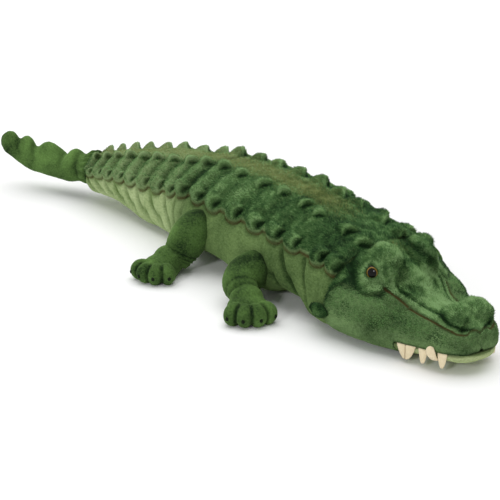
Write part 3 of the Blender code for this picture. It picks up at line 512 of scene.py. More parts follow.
def body_cloth(s, angle, hide):
    """Points of the hide or of the pale body cloth, with their marks."""
    s, angle = np.broadcast_arrays(s, angle)
    points = bare(s, angle)
    out, _ = facing(s, angle)
    wide = section(s)[0]
    left, height = points[..., 1], points[..., 2]
    side = np.arctan2(np.sin(angle), np.abs(np.cos(angle)))
    up = (side - seam_angle(s)) * wide
    inner, edge = row_angle(s, INNER_DEGREES), row_angle(s, SIDE_DEGREES)
    below = np.clip(up, None, 0)

    pleat = step(side, edge - 0.16, edge + 0.02) * (1 - step(side, inner, inner + 0.14))
    deep = 0.0012 + 0.0016 * step(s, 0.27, 0.40) + 0.0024 * step(s, 0.43, 0.60)
    ridge = pleat_height(s + 0.012 * (side - inner) + 0.0022 * noise(points, 0.030, 51))
    rise = pleat * deep * (ridge - 0.45) * (1 + 0.5 * noise(points, 0.045, 52))
    stations = np.max([bell(s - centre, 0.012) for centre in KNOB_S], axis=0)
    rise += 0.0022 * stations * bell(up - 0.007, 0.006)
    rise -= 0.0018 * bell(left, 0.019) * step(side, inner - 0.1, inner + 0.2)
    rolled = HIDE_THICK * (1 - np.exp(-np.clip(up, 0, None) / 0.0025))

    slant = 0.22 + 0.55 * bell(s - 0.30, 0.07) + 0.62 * step(s, 0.56, 0.62)
    slope_s = s + slant * np.clip(-up, 0, 0.09) + 0.0022 * noise(points, 0.032, 53)
    gather = fold_depth(s) * cusp_bell(slope_s, 0.0056)
    fade = step(height, -0.01, 0.045) * (1 - np.exp(below / 0.004))
    flank = 0.0016 * bell(up + 0.018, 0.012) - gather * fade

    joint = bell(s - HIP_JOINT, 0.007) * 0.0030 + bell(s - HEAD_END, 0.006) * 0.0022
    end = bell(s - CUFF, 0.008) * 0.0034
    total = np.where(up > 0, rolled + rise, flank * (1 - np.exp(below / 0.003)))
    total = total - 0.0010 * bell(up, 0.0022) - joint - end
    soft = 0.0016 * clumps(points, 0.036, 5) * (1 if hide else 0.8)
    pile = clumps(points, 0.0048, 9, 2) * (0.00045 if hide else 0.00022)
    moved = out * (total + soft + pile)[..., None]

    lobe = (1 - step(up, 0.0050, 0.0085)) * (up > 0)
    stripe = bell(left + 0.003 * noise(points, 0.02, 3), 0.024)
    pale = np.maximum(step(s, 0.480, 0.700), 0.35 * lobe) if hide else step(s, 0.535, 0.640)
    # Painted shade: the cloth is darker in the crease under the seam, at the sewn joints and the
    # cuff, in the gathers and on the front of the flank.
    marks = {"edge": np.maximum(bell(up, 0.0045), 0.85 * lobe),
             "olive": stripe * step(side, inner - 0.05, inner + 0.12) * step(s, 0.25, 0.34),
             "pale": pale,
             "seam": bell(up - 0.0006, 0.0019) * (0.75 + 0.35 * noise(points, 0.012, 21)),
             "painted_shade": 0.45 * bell(up + 0.001, 0.004)
             + 0.6 * np.clip(joint + end, 0, 0.004) / 0.004 + 0.9 * gather * fade / 0.005
             + 0.25 * bell(s - 0.310, 0.055) * step(-up, -0.005, 0.020)}
    tip = np.zeros_like(total)
    if hide:
        lifted, tip, pocket_shade = raise_knobs(points + out * rolled[..., None])
        moved = moved + lifted
        shag = clumps(points + lifted, 0.0042, 14, 2) * np.maximum(tip, pocket_shade) * 0.0013
        moved = moved + out * shag[..., None]
        # Painted shade in the knobs' pockets and in the pleats' valleys.
        marks["painted_shade"] = marks["painted_shade"] + 1.1 * pocket_shade * (1 - 0.5 * tip)
        marks["painted_shade"] += 0.60 * pleat * (1 - ridge) ** 2 * deep / 0.006
        marks["olive"] = marks["olive"] * (1 - step(tip, 0.05, 0.3))
    # The knobs' rims carry a painted highlight.
    marks["tip"] = tip
    marks["painted_shade"] = np.clip(marks["painted_shade"], 0, 1)

    moved = points + moved
    moved[..., 2] += lift_low(s, points)
    arch = BELLY_ARCH * bell(s - 0.475, 0.070) * step(np.abs(left), 0.030, 0.070)
    moved[..., 2] += arch * np.clip(1 - height / LIFT_FADES, 0, 1)
    moved[..., 2] = np.clip(moved[..., 2], FLOOR_GAP, None)
    return moved, marks


# %% [markdown]
# Hide and body cloth are each built in a front and a rear piece, which meet in the middle of the
# trunk.

# %% Building the hide and the body cloth
SPLIT = 0.430
HIDE_WAY_ROUND, BODY_WAY_ROUND, COVERED_COLUMNS = 0.165, 0.40, 20
LINING_DEEP, CORE_DEEP = 0.0013, 0.0014


def make_hide(name, start, stop, cell):
    """A sheet of hide with real thickness, closed round its border."""
    rows = spread(start, stop, cell)[:, None]
    share = np.linspace(0, 1, len(spread(0.0, HIDE_WAY_ROUND, cell)))[None, :]
    low = seam_angle(rows)
    angle = low + (math.pi - 2 * low) * share
    points, marks = body_cloth(rows, angle, True)
    lining = bare(rows, angle) - facing(rows, angle)[0] * LINING_DEEP
    return closed_sheet(name, points, lining, marks), (points, marks)


def make_body(name, start, stop, cell):
    """The pale cloth right round the body: fine where it shows, coarse under the hide."""
    rows = spread(start, stop, cell)[:, None]
    low = seam_angle(rows)
    shown = np.linspace(0, 1, int(BODY_WAY_ROUND / (cell * DETAIL)))[None, :]
    under = np.linspace(0, 1, COVERED_COLUMNS + 2)[None, 1:-1]
    angle = np.concatenate([(math.pi - low) + (math.pi + 2 * low) * shown,
                            (2 * math.pi + low) + (math.pi - 2 * low) * under], 1)
    points, marks = body_cloth(rows, angle, False)
    core = bare(rows, angle) - facing(rows, angle)[0] * CORE_DEEP
    points[:, shown.shape[1]:] = core[:, shown.shape[1]:]
    return closed_tube(name, bend(points), marks)


front_hide, front_sheet = make_hide("front_back_hide", HEAD_END, SPLIT, 1.15 * MM)
rear_hide, rear_sheet = make_hide("rear_back_hide", SPLIT, CUFF, 1.35 * MM)
front_body = make_body("front_body_cloth", HEAD_END, SPLIT, 1.5 * MM)
rear_body = make_body("rear_body_cloth", SPLIT, CUFF, 1.5 * MM)
for thing in (front_hide, rear_hide, front_body, rear_body):
    print(thing.name, len(thing.data.polygons), "faces")

# %% [markdown]
# The head is one skin too. Its creases were placed on the photograph's own lines: the stitched seam
# along the snout, the darker crease above it, the edge of the nose pad, the deep crease behind the
# eye mound and the ridge across the forehead. Each is a line of points, and the cloth dips near it.

# %% Sculpting the face


def on_skin(line):
    """A line of points in millimetres, filled in and pressed onto the bare skin."""
    line = np.array(line, float)
    fine = np.linspace(0, len(line) - 1, 5 * len(line))
    s, left, high = (MM * np.interp(fine, np.arange(len(line)), line[:, k]) for k in range(3))
    return bare(s, np.arctan2(high - section(s)[2], left)) / MM


SEAM_LINE = [(137, 52, 84), (117, 45, 75), (96, 41, 66), (74, 37.5, 62), (48, 36.5, 61),
             (28, 34, 59), (13, 29, 56), (4, 18, 53), (1, 0, 52)]
UPPER_CREASE = [(128, 38, 88), (121, 36, 81), (96, 27, 71), (70, 23, 67), (52, 25, 68),
                (36, 31, 69), (22, 33, 66), (11, 27, 63), (3, 10, 60)]
WELT_LINE = [(133, 46, 84), (117, 40, 77), (96, 34, 68.5), (74, 30.5, 65), (48, 31.5, 65),
             (28, 33, 63.5), (13, 28.5, 60), (4, 14, 56.5)]
PAD_CREASE = [(49, 0, 72), (47, 12, 74), (41, 22, 75), (35, 28, 74), (27, 32, 70)]
SEAM_LINE, UPPER_CREASE, WELT_LINE = map(on_skin, (SEAM_LINE, UPPER_CREASE, WELT_LINE))
NOSTRIL_TOP = MM * np.array([30.0, 27.0, 80.0])
EYE_CREASE = [(207, 52, 104), (202, 59, 98), (184, 70, 88), (169, 77, 78), (153, 76, 74),
              (143, 70, 74), (135, 62, 77), (134, 52, 83)]
CHEEK_EDGE = [(183, 75, 84), (190, 85, 75), (202, 91, 67), (204, 97, 54), (210, 99, 44)]
BROW_CREASE = [(204, 31, 111), (182, 20, 118), (163, 13, 118), (146, 14, 115), (133, 22, 107),
               (126, 33, 97)]
FOREHEAD = [(184, 30, 127), (177, 16, 124), (174, 0, 122)]
SNOUT_RIDGE = [(131, 22, 92), (133, 0, 93)]
DIMPLE = [(119, 19, 84), (112, 17, 80)]
JAW_LONG = 0.098
MOUTH_END = 0.1062
LIP_CORNER = 0.0930
JAW_HINGE_HIGH = 0.0169
LIP_IN = 0.0030
LIP_MIDDLE, TONGUE_FALL = 0.030, 0.005
EYE_WAY = unit(np.array([-0.07, 0.99, -0.04]))
EYE_LOOK = unit(np.array([0.48, 0.84, 0.24]))
EYE_RADIUS, EYE_BULGE, EYE_PROUD = 0.0094, 0.54, 0.0014


def gum_height(s):
    """The height of the lower jaw's top."""
    return LIP_MIDDLE - TONGUE_FALL * np.clip(s, 0, JAW_LONG) / JAW_LONG


def lip_height(s):
    """The height of the upper lip's edge, which droops behind the last tooth to hide the hinge."""
    droop = 0.012 * (np.clip(s - LIP_CORNER, 0, None) / 0.0045) ** 2
    return np.maximum(gum_height(s) - droop, 0.003)


def skin_angle(s, high):
    """The angle at which the skin is at that height."""
    angle = np.zeros_like(s)
    for _ in range(12):
        angle = np.arcsin(np.clip((high - section(s)[2]) / reach(s, angle), -0.98, 0.98))
    return angle


def eye_place(side):
    """An eye's middle in both spaces, and the way it looks in the row frame."""
    (s, left, high), radii = BROW
    far = 1 / np.linalg.norm(EYE_WAY / np.array(radii)) + EYE_PROUD
    flat = np.array([s - far * EYE_WAY[0], side * (left + far * EYE_WAY[1]),
                     high + far * EYE_WAY[2]])
    forward = np.array([math.cos(HEAD_TURN), -math.sin(HEAD_TURN), 0])
    out = side * np.array([math.sin(HEAD_TURN), math.cos(HEAD_TURN), 0])
    look = forward * EYE_LOOK[0] + out * EYE_LOOK[1] + np.array([0, 0, EYE_LOOK[2]])
    return flat, bend(flat), look


EYE_FLAT = np.abs(eye_place(-1)[0])
print("right eye:", np.round(eye_place(-1)[1], 4))


# Each line, how deep the cloth dips along it, and how wide the dip is; the ridges rise instead.
CREASES = ((SEAM_LINE, 0.0022, 0.0020), (UPPER_CREASE, 0.0026, 0.0034),
           (PAD_CREASE, 0.0016, 0.0040), (EYE_CREASE, 0.0036, 0.0050),
           (BROW_CREASE, 0.0026, 0.0040), (DIMPLE, 0.0026, 0.0055),
           (FOREHEAD, -0.0026, 0.010), (SNOUT_RIDGE, -0.0014, 0.009))
SEAM_HEIGHTS = MM * np.array([(0, 52), (28, 59), (74, 62), (117, 75), (137, 82), (152, 75),
                              (170, 79), (190, 79), (205, 62)])


def face_cloth(s, angle, mouth):
    """Points of the head's skin with their marks; mouth is 0 outside it and 1 on its roof."""
    s, angle = np.broadcast_arrays(s, angle)
    points = bare(s, angle)
    out, _ = facing(s, angle)
    p = folded(points)
    left, height = points[..., 1], points[..., 2]
    side = np.arctan2(np.sin(angle), np.abs(np.cos(angle)))
    away = [line_distance(points, line) for line, _, _ in CREASES]
    seam, upper, pad, behind, brow, dimple, forehead, ridge = away
    eye = np.linalg.norm(p - EYE_FLAT, axis=-1)

    total = -sum(deep * bell(far, wide) for far, (_, deep, wide) in zip(away, CREASES))
    total += 0.0010 * bell(np.minimum(seam, upper) - 0.004, 0.003) * step(height, 0.05, 0.06)
    total -= 0.0030 * bell(np.linalg.norm(p - NOSTRIL_TOP, axis=-1), 0.014)
    total -= 0.0030 * bell(eye, 0.0088)
    lid = bell(eye - 0.0135, 0.0042) * (0.7 + 0.6 * step(height, 0.095, 0.108))
    total += 0.0024 * lid
    total += 0.0045 * bell(left, 0.012) * bell(s - 0.029, 0.014) * step(side, 0.6, 1.1)
    total += 0.0050 * bell(s - 0.033, 0.017) * step(side, 0.50, 1.00)
    total += 0.0045 * bell(s - 0.054, 0.016) * step(left, -0.010, 0.012) * step(side, 0.80, 1.20)
    total -= 0.0050 * bell(s - 0.007, 0.009) * step(side, 0.35, 0.90)
    total -= 0.0030 * bell(s - 0.127, 0.012) * bell(side - 0.95, 0.35) * (left < 0)
    narrow = step(s, 0.055, 0.095) * (1 - step(s, 0.165, 0.200)) * bell(side - 0.70, 0.50)
    total -= narrow * np.where(left > 0, 0.0095, 0.0020)
    total += 0.0030 * step(s, 0.105, 0.150) * bell(height - 0.045, 0.022)
    back = bell(s - HEAD_END, 0.0060)
    lip = bell(height - lip_height(s), 0.0026) * (s < MOUTH_END)
    total -= 0.0022 * back + 0.0016 * lip
    total += 0.6 * HIDE_THICK * step(s, 0.185, 0.2) * step(height, 0.085, 0.10)
    total += 0.0013 * clumps(points, 0.028, 5)
    pile = clumps(points, 0.0052, 9, 2) * (1 - 0.9 * bell(eye, 0.0085))
    total += (0.00055 + 0.00045 * bell(eye - 0.017, 0.012)) * pile
    moved = points + out * (total * (1 - mouth))[..., None]
    moved[..., 2] = np.clip(moved[..., 2], FLOOR_GAP, None)

    welt = bell(line_distance(points, WELT_LINE), 0.0046) * (1 - bell(upper, 0.0030))
    edge = line_distance(points, CHEEK_EDGE)
    # Painted shade: darker at the seam behind the head, along the lip, in the mouth, in the
    # creases, round the eye, along the cheek's edge and in the dimple.
    painted_shade = 0.2 * back + 0.8 * lip + mouth + sum(dark * bell(far, wide) for dark, far, wide in (
        (0.40, seam, 0.0034), (0.95, upper, 0.0034), (0.75, pad, 0.005), (0.9, behind, 0.006),
        (0.7, brow, 0.005), (0.7, eye - 0.0085, 0.003), (0.6, edge, 0.004), (0.5, dimple, 0.007)))
    # A painted highlight on the eye's lid, the welt, the forehead and the snout's ridge.
    tip = 0.4 * lid + 0.75 * welt + 0.5 * bell(forehead, 0.011) + 0.5 * bell(ridge, 0.009)
    below_seam = np.interp(s, SEAM_HEIGHTS[:, 0], SEAM_HEIGHTS[:, 1]) - height
    return moved, {
        "olive": 0.35 * step(s, 0.15, 0.2) * bell(left, 0.02),
        "edge": np.maximum(bell(seam, 0.0042), 0.62 * welt) * step(s, -0.006, 0.006),
        "seam": bell(seam, 0.0016) * step(s, -0.01, 0.01)
        + 0.6 * bell(brow, 0.0010) * step(s, 0.15, 0.165),
        "painted_shade": np.clip(painted_shade, 0, 1), "tip": np.clip(tip, 0, 1),
        "cheek": step(below_seam, -0.0008, 0.0008)}


def even_rows(start, stop, cell):
    """Places along the body whose rings are about one cell apart on the skin."""
    s = np.linspace(start, stop, 4000)
    gaps = [np.linalg.norm(np.diff(bare(s, np.full_like(s, angle)), axis=0), axis=1)
            for angle in (0.1, 1.3)]
    length = np.concatenate([[0], np.cumsum(np.max(gaps, axis=0))])
    count = max(3, int(length[-1] / (cell * DETAIL)))
    return np.interp(np.linspace(0, length[-1], count), length, s)


# %% [markdown]
# The head's skin goes over the top from lip to lip, and under it from the throat to the mouth's
# corner, where it turns into the mouth's roof. The lower jaw is a boat-shaped cushion below it.

# %% Building the head and the lower jaw


HEAD_CELL, JAW_CELL = 1.4 * MM, 1.5 * MM
HEAD_WAY_ROUND, JAW_WAY_ROUND, JAW_LID_COLUMNS = 0.40, 0.26, 40
ROOF_ARCH = 0.0030
JAW_TIP, JAW_HEEL, HEEL_RADIUS = -0.0030, 0.0073, 0.0075
JAW_WALL, LIP_GAP, CHIN_TUCK, CHIN_HIGH = 0.004, 0.0010, 0.010, 0.026


def make_head():
    """The head's skin, with the roof of its mouth arched across between the two lips."""
    rows = even_rows(0.0, HEAD_END, HEAD_CELL)
    cut = np.argmin(np.abs(rows - MOUTH_END))
    rows[cut:cut + 2] = MOUTH_END, MOUTH_END + 0.0002
    lip = skin_angle(rows, lip_height(rows))[:, None]
    many = int(HEAD_WAY_ROUND / (HEAD_CELL * DETAIL))
    over = np.linspace(0, 1, many)[None, :]
    under = np.linspace(0, 1, many // 2 + 2)[None, 1:-1]
    angle = np.concatenate([lip + (math.pi - 2 * lip) * over,
                            (math.pi - lip) + (math.pi + 2 * lip) * under], 1)
    mouth = np.zeros(angle.shape)
    mouth[:cut + 1, many:] = 1
    points, marks = face_cloth(rows[:, None], angle, mouth)
    share = under[0][None, :, None]
    roof = points[:, many - 1, None] * (1 - share) + points[:, :1] * share
    arch = 1 - np.abs(2 * under - 1) ** 8
    roof[..., 2] = np.maximum(roof[..., 2], gum_height(rows)[:, None]) + ROOF_ARCH * arch
    points[:cut + 1, many:] = roof[:cut + 1]
    sheet = points[:, :many], {k: v[:, :many] for k, v in marks.items()}
    return closed_tube("head_skin", bend(points), marks), sheet


def make_jaw():
    """The lower lip: the body's own shape a little further in, closed by a flat lid."""
    front = [JAW_TIP, -0.0026, -0.0016, -0.0004]
    rows = np.concatenate([front, even_rows(0.0012, JAW_LONG + JAW_HEEL, JAW_CELL)])
    share = np.linspace(0, 1, int(JAW_WAY_ROUND / (JAW_CELL * DETAIL)))[None, :]
    span = np.linspace(0, 1, JAW_LID_COLUMNS + 2)[None, 1:-1]
    at = np.maximum(rows, 0.0021)[:, None]
    lip = skin_angle(at, gum_height(at))
    angle = (math.pi - lip) + (math.pi + 2 * lip) * share
    radius = np.maximum(reach(at, angle) - LIP_IN, JAW_WALL)
    beyond = np.clip(rows - JAW_LONG, 0, None)
    heel = JAW_HINGE_HIGH + np.sqrt(np.clip(HEEL_RADIUS ** 2 - beyond ** 2, 0, None))
    upper = gum_height(rows) - LIP_GAP
    upper = np.where(beyond > 0, np.minimum(upper, heel), upper)[:, None]

    left = radius * np.cos(angle)
    high = np.maximum(section(at)[2] + radius * np.sin(angle), FLOOR_GAP)
    tucked = CHIN_TUCK * (1 - step(rows, 0.045, 0.095))[:, None]
    high = np.minimum(high + tucked * np.clip(1 - high / CHIN_HIGH, 0, 1), upper)
    left = np.concatenate([left, left[:, -1:] * (1 - span) + left[:, :1] * span], 1)
    high = np.concatenate([high, np.broadcast_to(upper, (len(rows), span.shape[1]))], 1)
    ahead = np.clip((rows - JAW_TIP) / 0.0065, 0, 1)
    shrink = (1 - (1 - ahead) ** 2.6)[:, None] ** 0.5
    high = upper - (upper - high) * shrink
    left = left * shrink * (1 - 0.10 * bell(high - upper, 0.0022))
    skin = np.stack([np.broadcast_to(rows[:, None], left.shape), left, high], -1)

    out = unit(np.stack([np.zeros(left.shape), left, high - CHIN_HIGH], -1))
    puff = 0.0009 * clumps(skin, 0.02, 6) + 0.0003 * clumps(skin, 0.005, 8, 2)
    skin = skin + out * (puff * (high < upper - 0.001))[..., None]
    skin[..., 2] = np.clip(skin[..., 2], FLOOR_GAP, None)
    lid = np.arange(left.shape[1])[None, :] >= share.shape[1]
    # Painted shade along the jaw's top edge, on its lid inside the mouth and at its back.
    painted_shade = (0.7 * bell(skin[..., 2] - upper, 0.0016) + 0.8 * lid
              + step(rows, 0.080, 0.096)[:, None])
    return closed_tube("lower_jaw_skin", bend(skin), {"painted_shade": np.clip(painted_shade, 0, 1)})


head_skin, head_sheet = make_head()
jaw_skin = make_jaw()
print(head_skin.name, len(head_skin.data.polygons), jaw_skin.name, len(jaw_skin.data.polygons))

# %% [markdown]
# The back and the head have a longer pile than the rest, long enough to see as strands. Each
# strand is a thin closed spike. It leans the way the pile is brushed, towards the tail, and with
# the others in its tuft; round the eye it fans outwards. Tufts differ in tone, strands in hollows
# take painted shade and strands on crests a painted highlight, so the strands are sorted into five
# greens, from dark to light, and two olives for the stripe. Behind each cheek a low scute is sewn
# on, with pile of its own; painted shade makes it dark.

# %% Combing the long pile
STRAND_LONG, STRAND_WIDE = 0.0041, 0.00040
STRAND_SUNK = 0.0006
TUFT = 0.0060
PILE_LIGHT = np.array([(0.0, 0.62), (0.06, 0.80), (0.14, 0.80), (0.19, 0.50), (0.24, 0.30),
                       (0.32, 0.40), (0.40, 0.52), (0.50, 0.64), (0.70, 0.74), (0.86, 0.74)])
SCUTE_S, SCUTE_ANGLE, SCUTE_LONG, SCUTE_WIDE = 0.211, 0.005, 0.020, 0.085
STRANDS = {"left_cheek_scute_pile": 3000, "right_cheek_scute_pile": 3000,
           "front_back_pile": 47000, "rear_back_pile": 49000, "head_pile": 47000}
GREENS = 5


def comb_pile(name, sheet, length_at, keep_at, comb_at, seed):
    """One object of strands over a sheet of points, with the number of each strand's tone."""
    rng = np.random.default_rng(seed)
    points, marks = sheet
    down, over = np.diff(points, axis=0)[:, :-1], np.diff(points, axis=1)[:-1]
    area = np.linalg.norm(np.cross(over, down), axis=-1)
    weight = (area * keep_at(points, marks)[:-1, :-1]).ravel()
    many = int(STRANDS[name] / (1))
    cell = rng.choice(weight.size, many, p=weight / weight.sum())
    i, j = np.unravel_index(cell, area.shape)
    u, v = rng.random((2, many))
    around = unit(np.cross(np.gradient(points, axis=1), np.gradient(points, axis=0)))

    def between(values):
        u2, v2 = (u, v) if values.ndim == 2 else (u[:, None], v[:, None])
        return ((values[i, j] * (1 - v2) + values[i, j + 1] * v2) * (1 - u2)
                + (values[i + 1, j] * (1 - v2) + values[i + 1, j + 1] * v2) * u2)

    root, normal = between(points), unit(between(around))
    mark = {k: between(value) for k, value in marks.items()}
    tuft = np.stack([noise(root, TUFT, seed + k) for k in (1, 2, 3)], -1)
    comb = comb_at(root)
    comb = comb - normal * (comb * normal).sum(-1, keepdims=True)
    way = unit(0.62 * normal + 0.62 * comb + 0.62 * tuft + 0.16 * rng.normal(size=(many, 3)))
    way = unit(way + normal * np.clip(0.25 - (way * normal).sum(-1, keepdims=True), 0, None))
    long = length_at(root, mark) * rng.uniform(0.65, 1.25, many)
    side = unit(np.cross(way, normal + 0.01 * rng.normal(size=(many, 3))))
    other = np.cross(way, side)
    corners = [root - way * STRAND_SUNK
               + STRAND_WIDE * (math.cos(turn) * side + math.sin(turn) * other)
               for turn in (2 * math.pi * k / 3 for k in range(3))]
    spikes = np.stack([*corners, root + way * long[:, None]], 1)
    spikes[..., 2] = np.maximum(spikes[..., 2], 0.0006)
    first = 4 * np.arange(many)[:, None]
    faces = np.concatenate([first + np.array(f)
                            for f in ((1, 0, 3), (2, 1, 3), (0, 2, 3), (0, 1, 2))])
    soft = bend_way(root[:, 0], unit(0.80 * normal + 0.35 * way))
    thing = make_object(name, bend(spikes).reshape(-1, 3), [faces], None,
                        np.repeat(soft, 4, axis=0))
    lit = np.interp(root[:, 0], PILE_LIGHT[:, 0], PILE_LIGHT[:, 1])
    # The tone takes a painted highlight on crests and painted shade in hollows.
    level = (lit + 0.13 * noise(root, 0.008, seed + 7) + 0.16 * noise(root, 0.034, seed + 8)
             + 0.14 * rng.normal(size=many) + 0.42 * mark["tip"] - 0.62 * mark["painted_shade"]
             + 0.18 * tuft[:, 0])
    if "cheek" in mark:
        level = level + (0.20 + 0.45 * mark["cheek"]) * noise(root, 0.016, seed + 9)
    tone = np.clip(np.floor(level * GREENS), 0, GREENS - 1).astype(int)
    olive = rng.random(many) < 0.8 * mark["olive"]
    tone[olive] = GREENS + (level[olive] > 0.5)
    if "cheek" in mark:
        pale = mark["cheek"] > 0.5
        tone[pale] = np.clip(tone[pale] - rng.integers(0, 3, many)[pale], 0, 3)
    thing.data.polygons.foreach_set("material_index", np.tile(tone, 4).astype(np.int32))
    return thing


def tailwards(root):
    """The way the back's pile is brushed: to the tail, and a little down the sides."""
    left = np.sign(root[:, 1]) * np.abs(root[:, 1]) / 0.10
    return unit(np.stack([np.ones(len(root)), 0.35 * left, -0.35 * np.abs(left)], -1))


def face_comb(root):
    """The way the head's pile lies: to the tail, but outwards all round the eyes."""
    p = folded(root)
    away = p - EYE_FLAT
    near = bell(np.linalg.norm(away, axis=-1), 0.026)[:, None]
    away = unit(away) * np.stack([np.ones(len(root)), np.sign(root[:, 1]), np.ones(len(root))], -1)
    return unit(tailwards(root) * (1 - near) + 1.2 * away * near)


def back_keep(points, marks):
    """Where the back grows strands: all over, but hardly any on the sewn edge."""
    return 1 - 0.97 * np.clip(1.6 * marks["edge"] - 0.2, 0, 1)


def face_keep(points, marks):
    """Where the head grows strands: not on the eyes, the lips or the seam, fewer on the cheeks."""
    eye = step(np.linalg.norm(folded(points) - EYE_FLAT, axis=-1), 0.0100, 0.0122)
    lip = step(points[..., 2], 0.036, 0.046)
    return eye * lip * (1 - np.clip(1.5 * marks["edge"] - 0.2, 0, 1)) * (1 - 0.35 * marks["cheek"])


def back_length(root, mark):
    s = root[:, 0]
    short = (1 - 0.35 * mark["olive"]) * (1 - 0.6 * mark["edge"]) * (1 - 0.3 * step(s, 0.5, 0.7))
    trunk = 1 - 0.18 * step(s, 0.28, 0.36)
    return STRAND_LONG * (0.85 + 0.12 * np.clip(mark["tip"], 0, 1)) * short * trunk


def face_length(root, mark):
    cheek = 1 - 0.45 * mark["cheek"]
    front = 0.55 + 0.45 * step(root[:, 0], 0.0, 0.03)
    tips = 0.85 + 0.3 * np.clip(mark["tip"], 0, 1)
    return STRAND_LONG * cheek * front * (1 - 0.6 * mark["edge"]) * tips


def make_cheek_scute(side):
    """A low scute sewn on behind a cheek, darkened by painted shade: a padded leaf that follows the
    skin.
    """
    u = np.linspace(-1, 1, int(40 / DETAIL))[:, None]
    v = np.linspace(-1, 1, int(30 / DETAIL))[None, :]
    x, y = u * np.sqrt(1 - v * v / 2), v * np.sqrt(1 - u * u / 2)
    s = SCUTE_S + SCUTE_LONG * x
    angle = SCUTE_ANGLE + SCUTE_WIDE * (y * (1 - 0.55 * x * x) - 0.25 * x)
    right = side < 0
    angle = math.pi - angle if right else angle
    base = bare(s, angle)
    out, _ = facing(s, angle)
    dome = np.clip(1 - x * x - y * y, 0, 1) ** 0.5
    high = 0.0026 + 0.0064 * dome + 0.0014 * clumps(base, 0.007, 31, 2) * dome
    top, under = base + out * high[..., None], base - out * 0.003
    # Painted shade over the whole scute and more towards its edge, with a painted highlight on its
    # top.
    marks = {"olive": 0 * dome, "edge": 0 * dome, "tip": 0.45 * dome ** 4,
             "painted_shade": 0.35 + 0.4 * (1 - dome)}
    name = f"{'right' if right else 'left'}_cheek_scute"
    scute = closed_sheet(name, top, under, marks, right)
    if right:
        top, marks = top[:, ::-1], {k: v[:, ::-1] for k, v in marks.items()}
    return scute, (top, marks)


scutes, scute_piles = [], []
for side in (1, -1):
    scute, sheet = make_cheek_scute(side)
    scutes.append(scute)
    scute_piles.append(comb_pile(f"{scute.name}_pile", sheet, back_length, back_keep, tailwards,
                                 400 + side))
front_pile = comb_pile("front_back_pile", front_sheet, back_length, back_keep, tailwards, 100)
rear_pile = comb_pile("rear_back_pile", rear_sheet, back_length, back_keep, tailwards, 200)
head_pile = comb_pile("head_pile", head_sheet, face_length, face_keep, face_comb, 300)
print("strands:", [len(thing.data.vertices) // 4 for thing in (front_pile, rear_pile, head_pile)])

# %% [markdown]
# The end of the tail is its own darker piece: smooth, gathered where it joins, with one row of tall
# soft crests and a fold down each side between them.

# %% The end of the tail
CREST_LINE = MM * np.array([(838, 79), (845, 80), (853, 82), (862, 79), (877, 72.5), (884, 75.5),
                            (893, 77), (901, 72), (908, 62.5), (912, 63.5), (922, 72), (933, 79),
                            (942, 81), (951, 78), (961, 69.5), (966, 72), (972, 82), (979, 86),
                            (985, 85), (992, 80), (998, 85), (1006, 90), (1014, 88), (1026, 76)])
NOTCHES = (0.877, 0.9085, 0.9615, 0.991)


def make_tail_tip():
    """The dark end of the tail, with soft crests along its top and folds down its sides."""
    rows = np.concatenate([[CUFF - 0.006, CUFF - 0.003], even_rows(CUFF, TAIL_END, 1.4 * MM)])
    angle = np.linspace(0, 2 * math.pi, int(0.22 / (1.5 * MM * DETAIL)), endpoint=False)[None, :]
    s, angle = np.broadcast_arrays(rows[:, None], angle)
    points = bare(s, angle)
    out, _ = facing(s, angle)
    wide, top, mid, low = section(s)
    height = points[..., 2]
    line = np.linspace(CREST_LINE[0, 0], CREST_LINE[-1, 0], 400)
    high = np.interp(line, CREST_LINE[:, 0], CREST_LINE[:, 1])
    for _ in range(14):
        high[1:-1] = (high[:-2] + 2 * high[1:-1] + high[2:]) / 4
    rise = (np.interp(s, line, high) - top) * bell(points[..., 1], 0.72 * wide) * (s > CUFF)

    fold = np.zeros(s.shape)
    for at in NOTCHES:
        deep = 1.0 if at == NOTCHES[0] else step(height, mid - 0.006, mid + 0.018)
        fold = np.maximum(fold, bell(s - at - 0.30 * (height - mid), 0.0042) * deep)
    fold = fold * step(height, low + 0.003, mid)
    gather = bell(s - 0.860, 0.011)
    ridges = np.cos(17 * angle + 2 * np.sin(3 * angle))
    sewn = bell(s - CUFF, 0.007)
    total = -0.0026 * fold + 0.0020 * gather * ridges - 0.0050 * bell(s - 0.872, 0.016)
    total += 0.0035 * bell(s - 1.020, 0.012) - 0.0030 * sewn
    total -= 0.0050 * step(-s, -CUFF, -CUFF + 0.004)
    total += 0.0008 * clumps(points, 0.022, 5) + 0.00025 * clumps(points, 0.0045, 9, 2)
    lift = rise * step(np.sin(angle), 0.0, 0.9) + lift_low(s, points)
    points = points + out * total[..., None]
    points[..., 2] += lift
    # Painted shade in the folds, at the sewn end and between the gathers; a painted highlight on
    # the crests.
    painted_shade = 0.45 * fold + 0.7 * sewn + 0.3 * gather * (0.5 - 0.5 * ridges)
    marks = {"tip": np.clip(rise / 0.024, 0, 0.7), "painted_shade": np.clip(painted_shade, 0, 1)}
    return closed_tube("tail_end", bend(points), marks)


tail_end = make_tail_tip()
print(tail_end.name, len(tail_end.data.polygons), "faces")

# %% [markdown]
# A leg is a soft drumstick that swings on a ball in the flank: a smooth tube round a curved line,
# fat at the thigh and pinched at the ankle, with a few folds on the inside of the bend. The foot
# is a flat-bottomed pad and four plump toes, melted together by a voxel remesh and then relaxed,
# with a dark stitched claw on each toe.

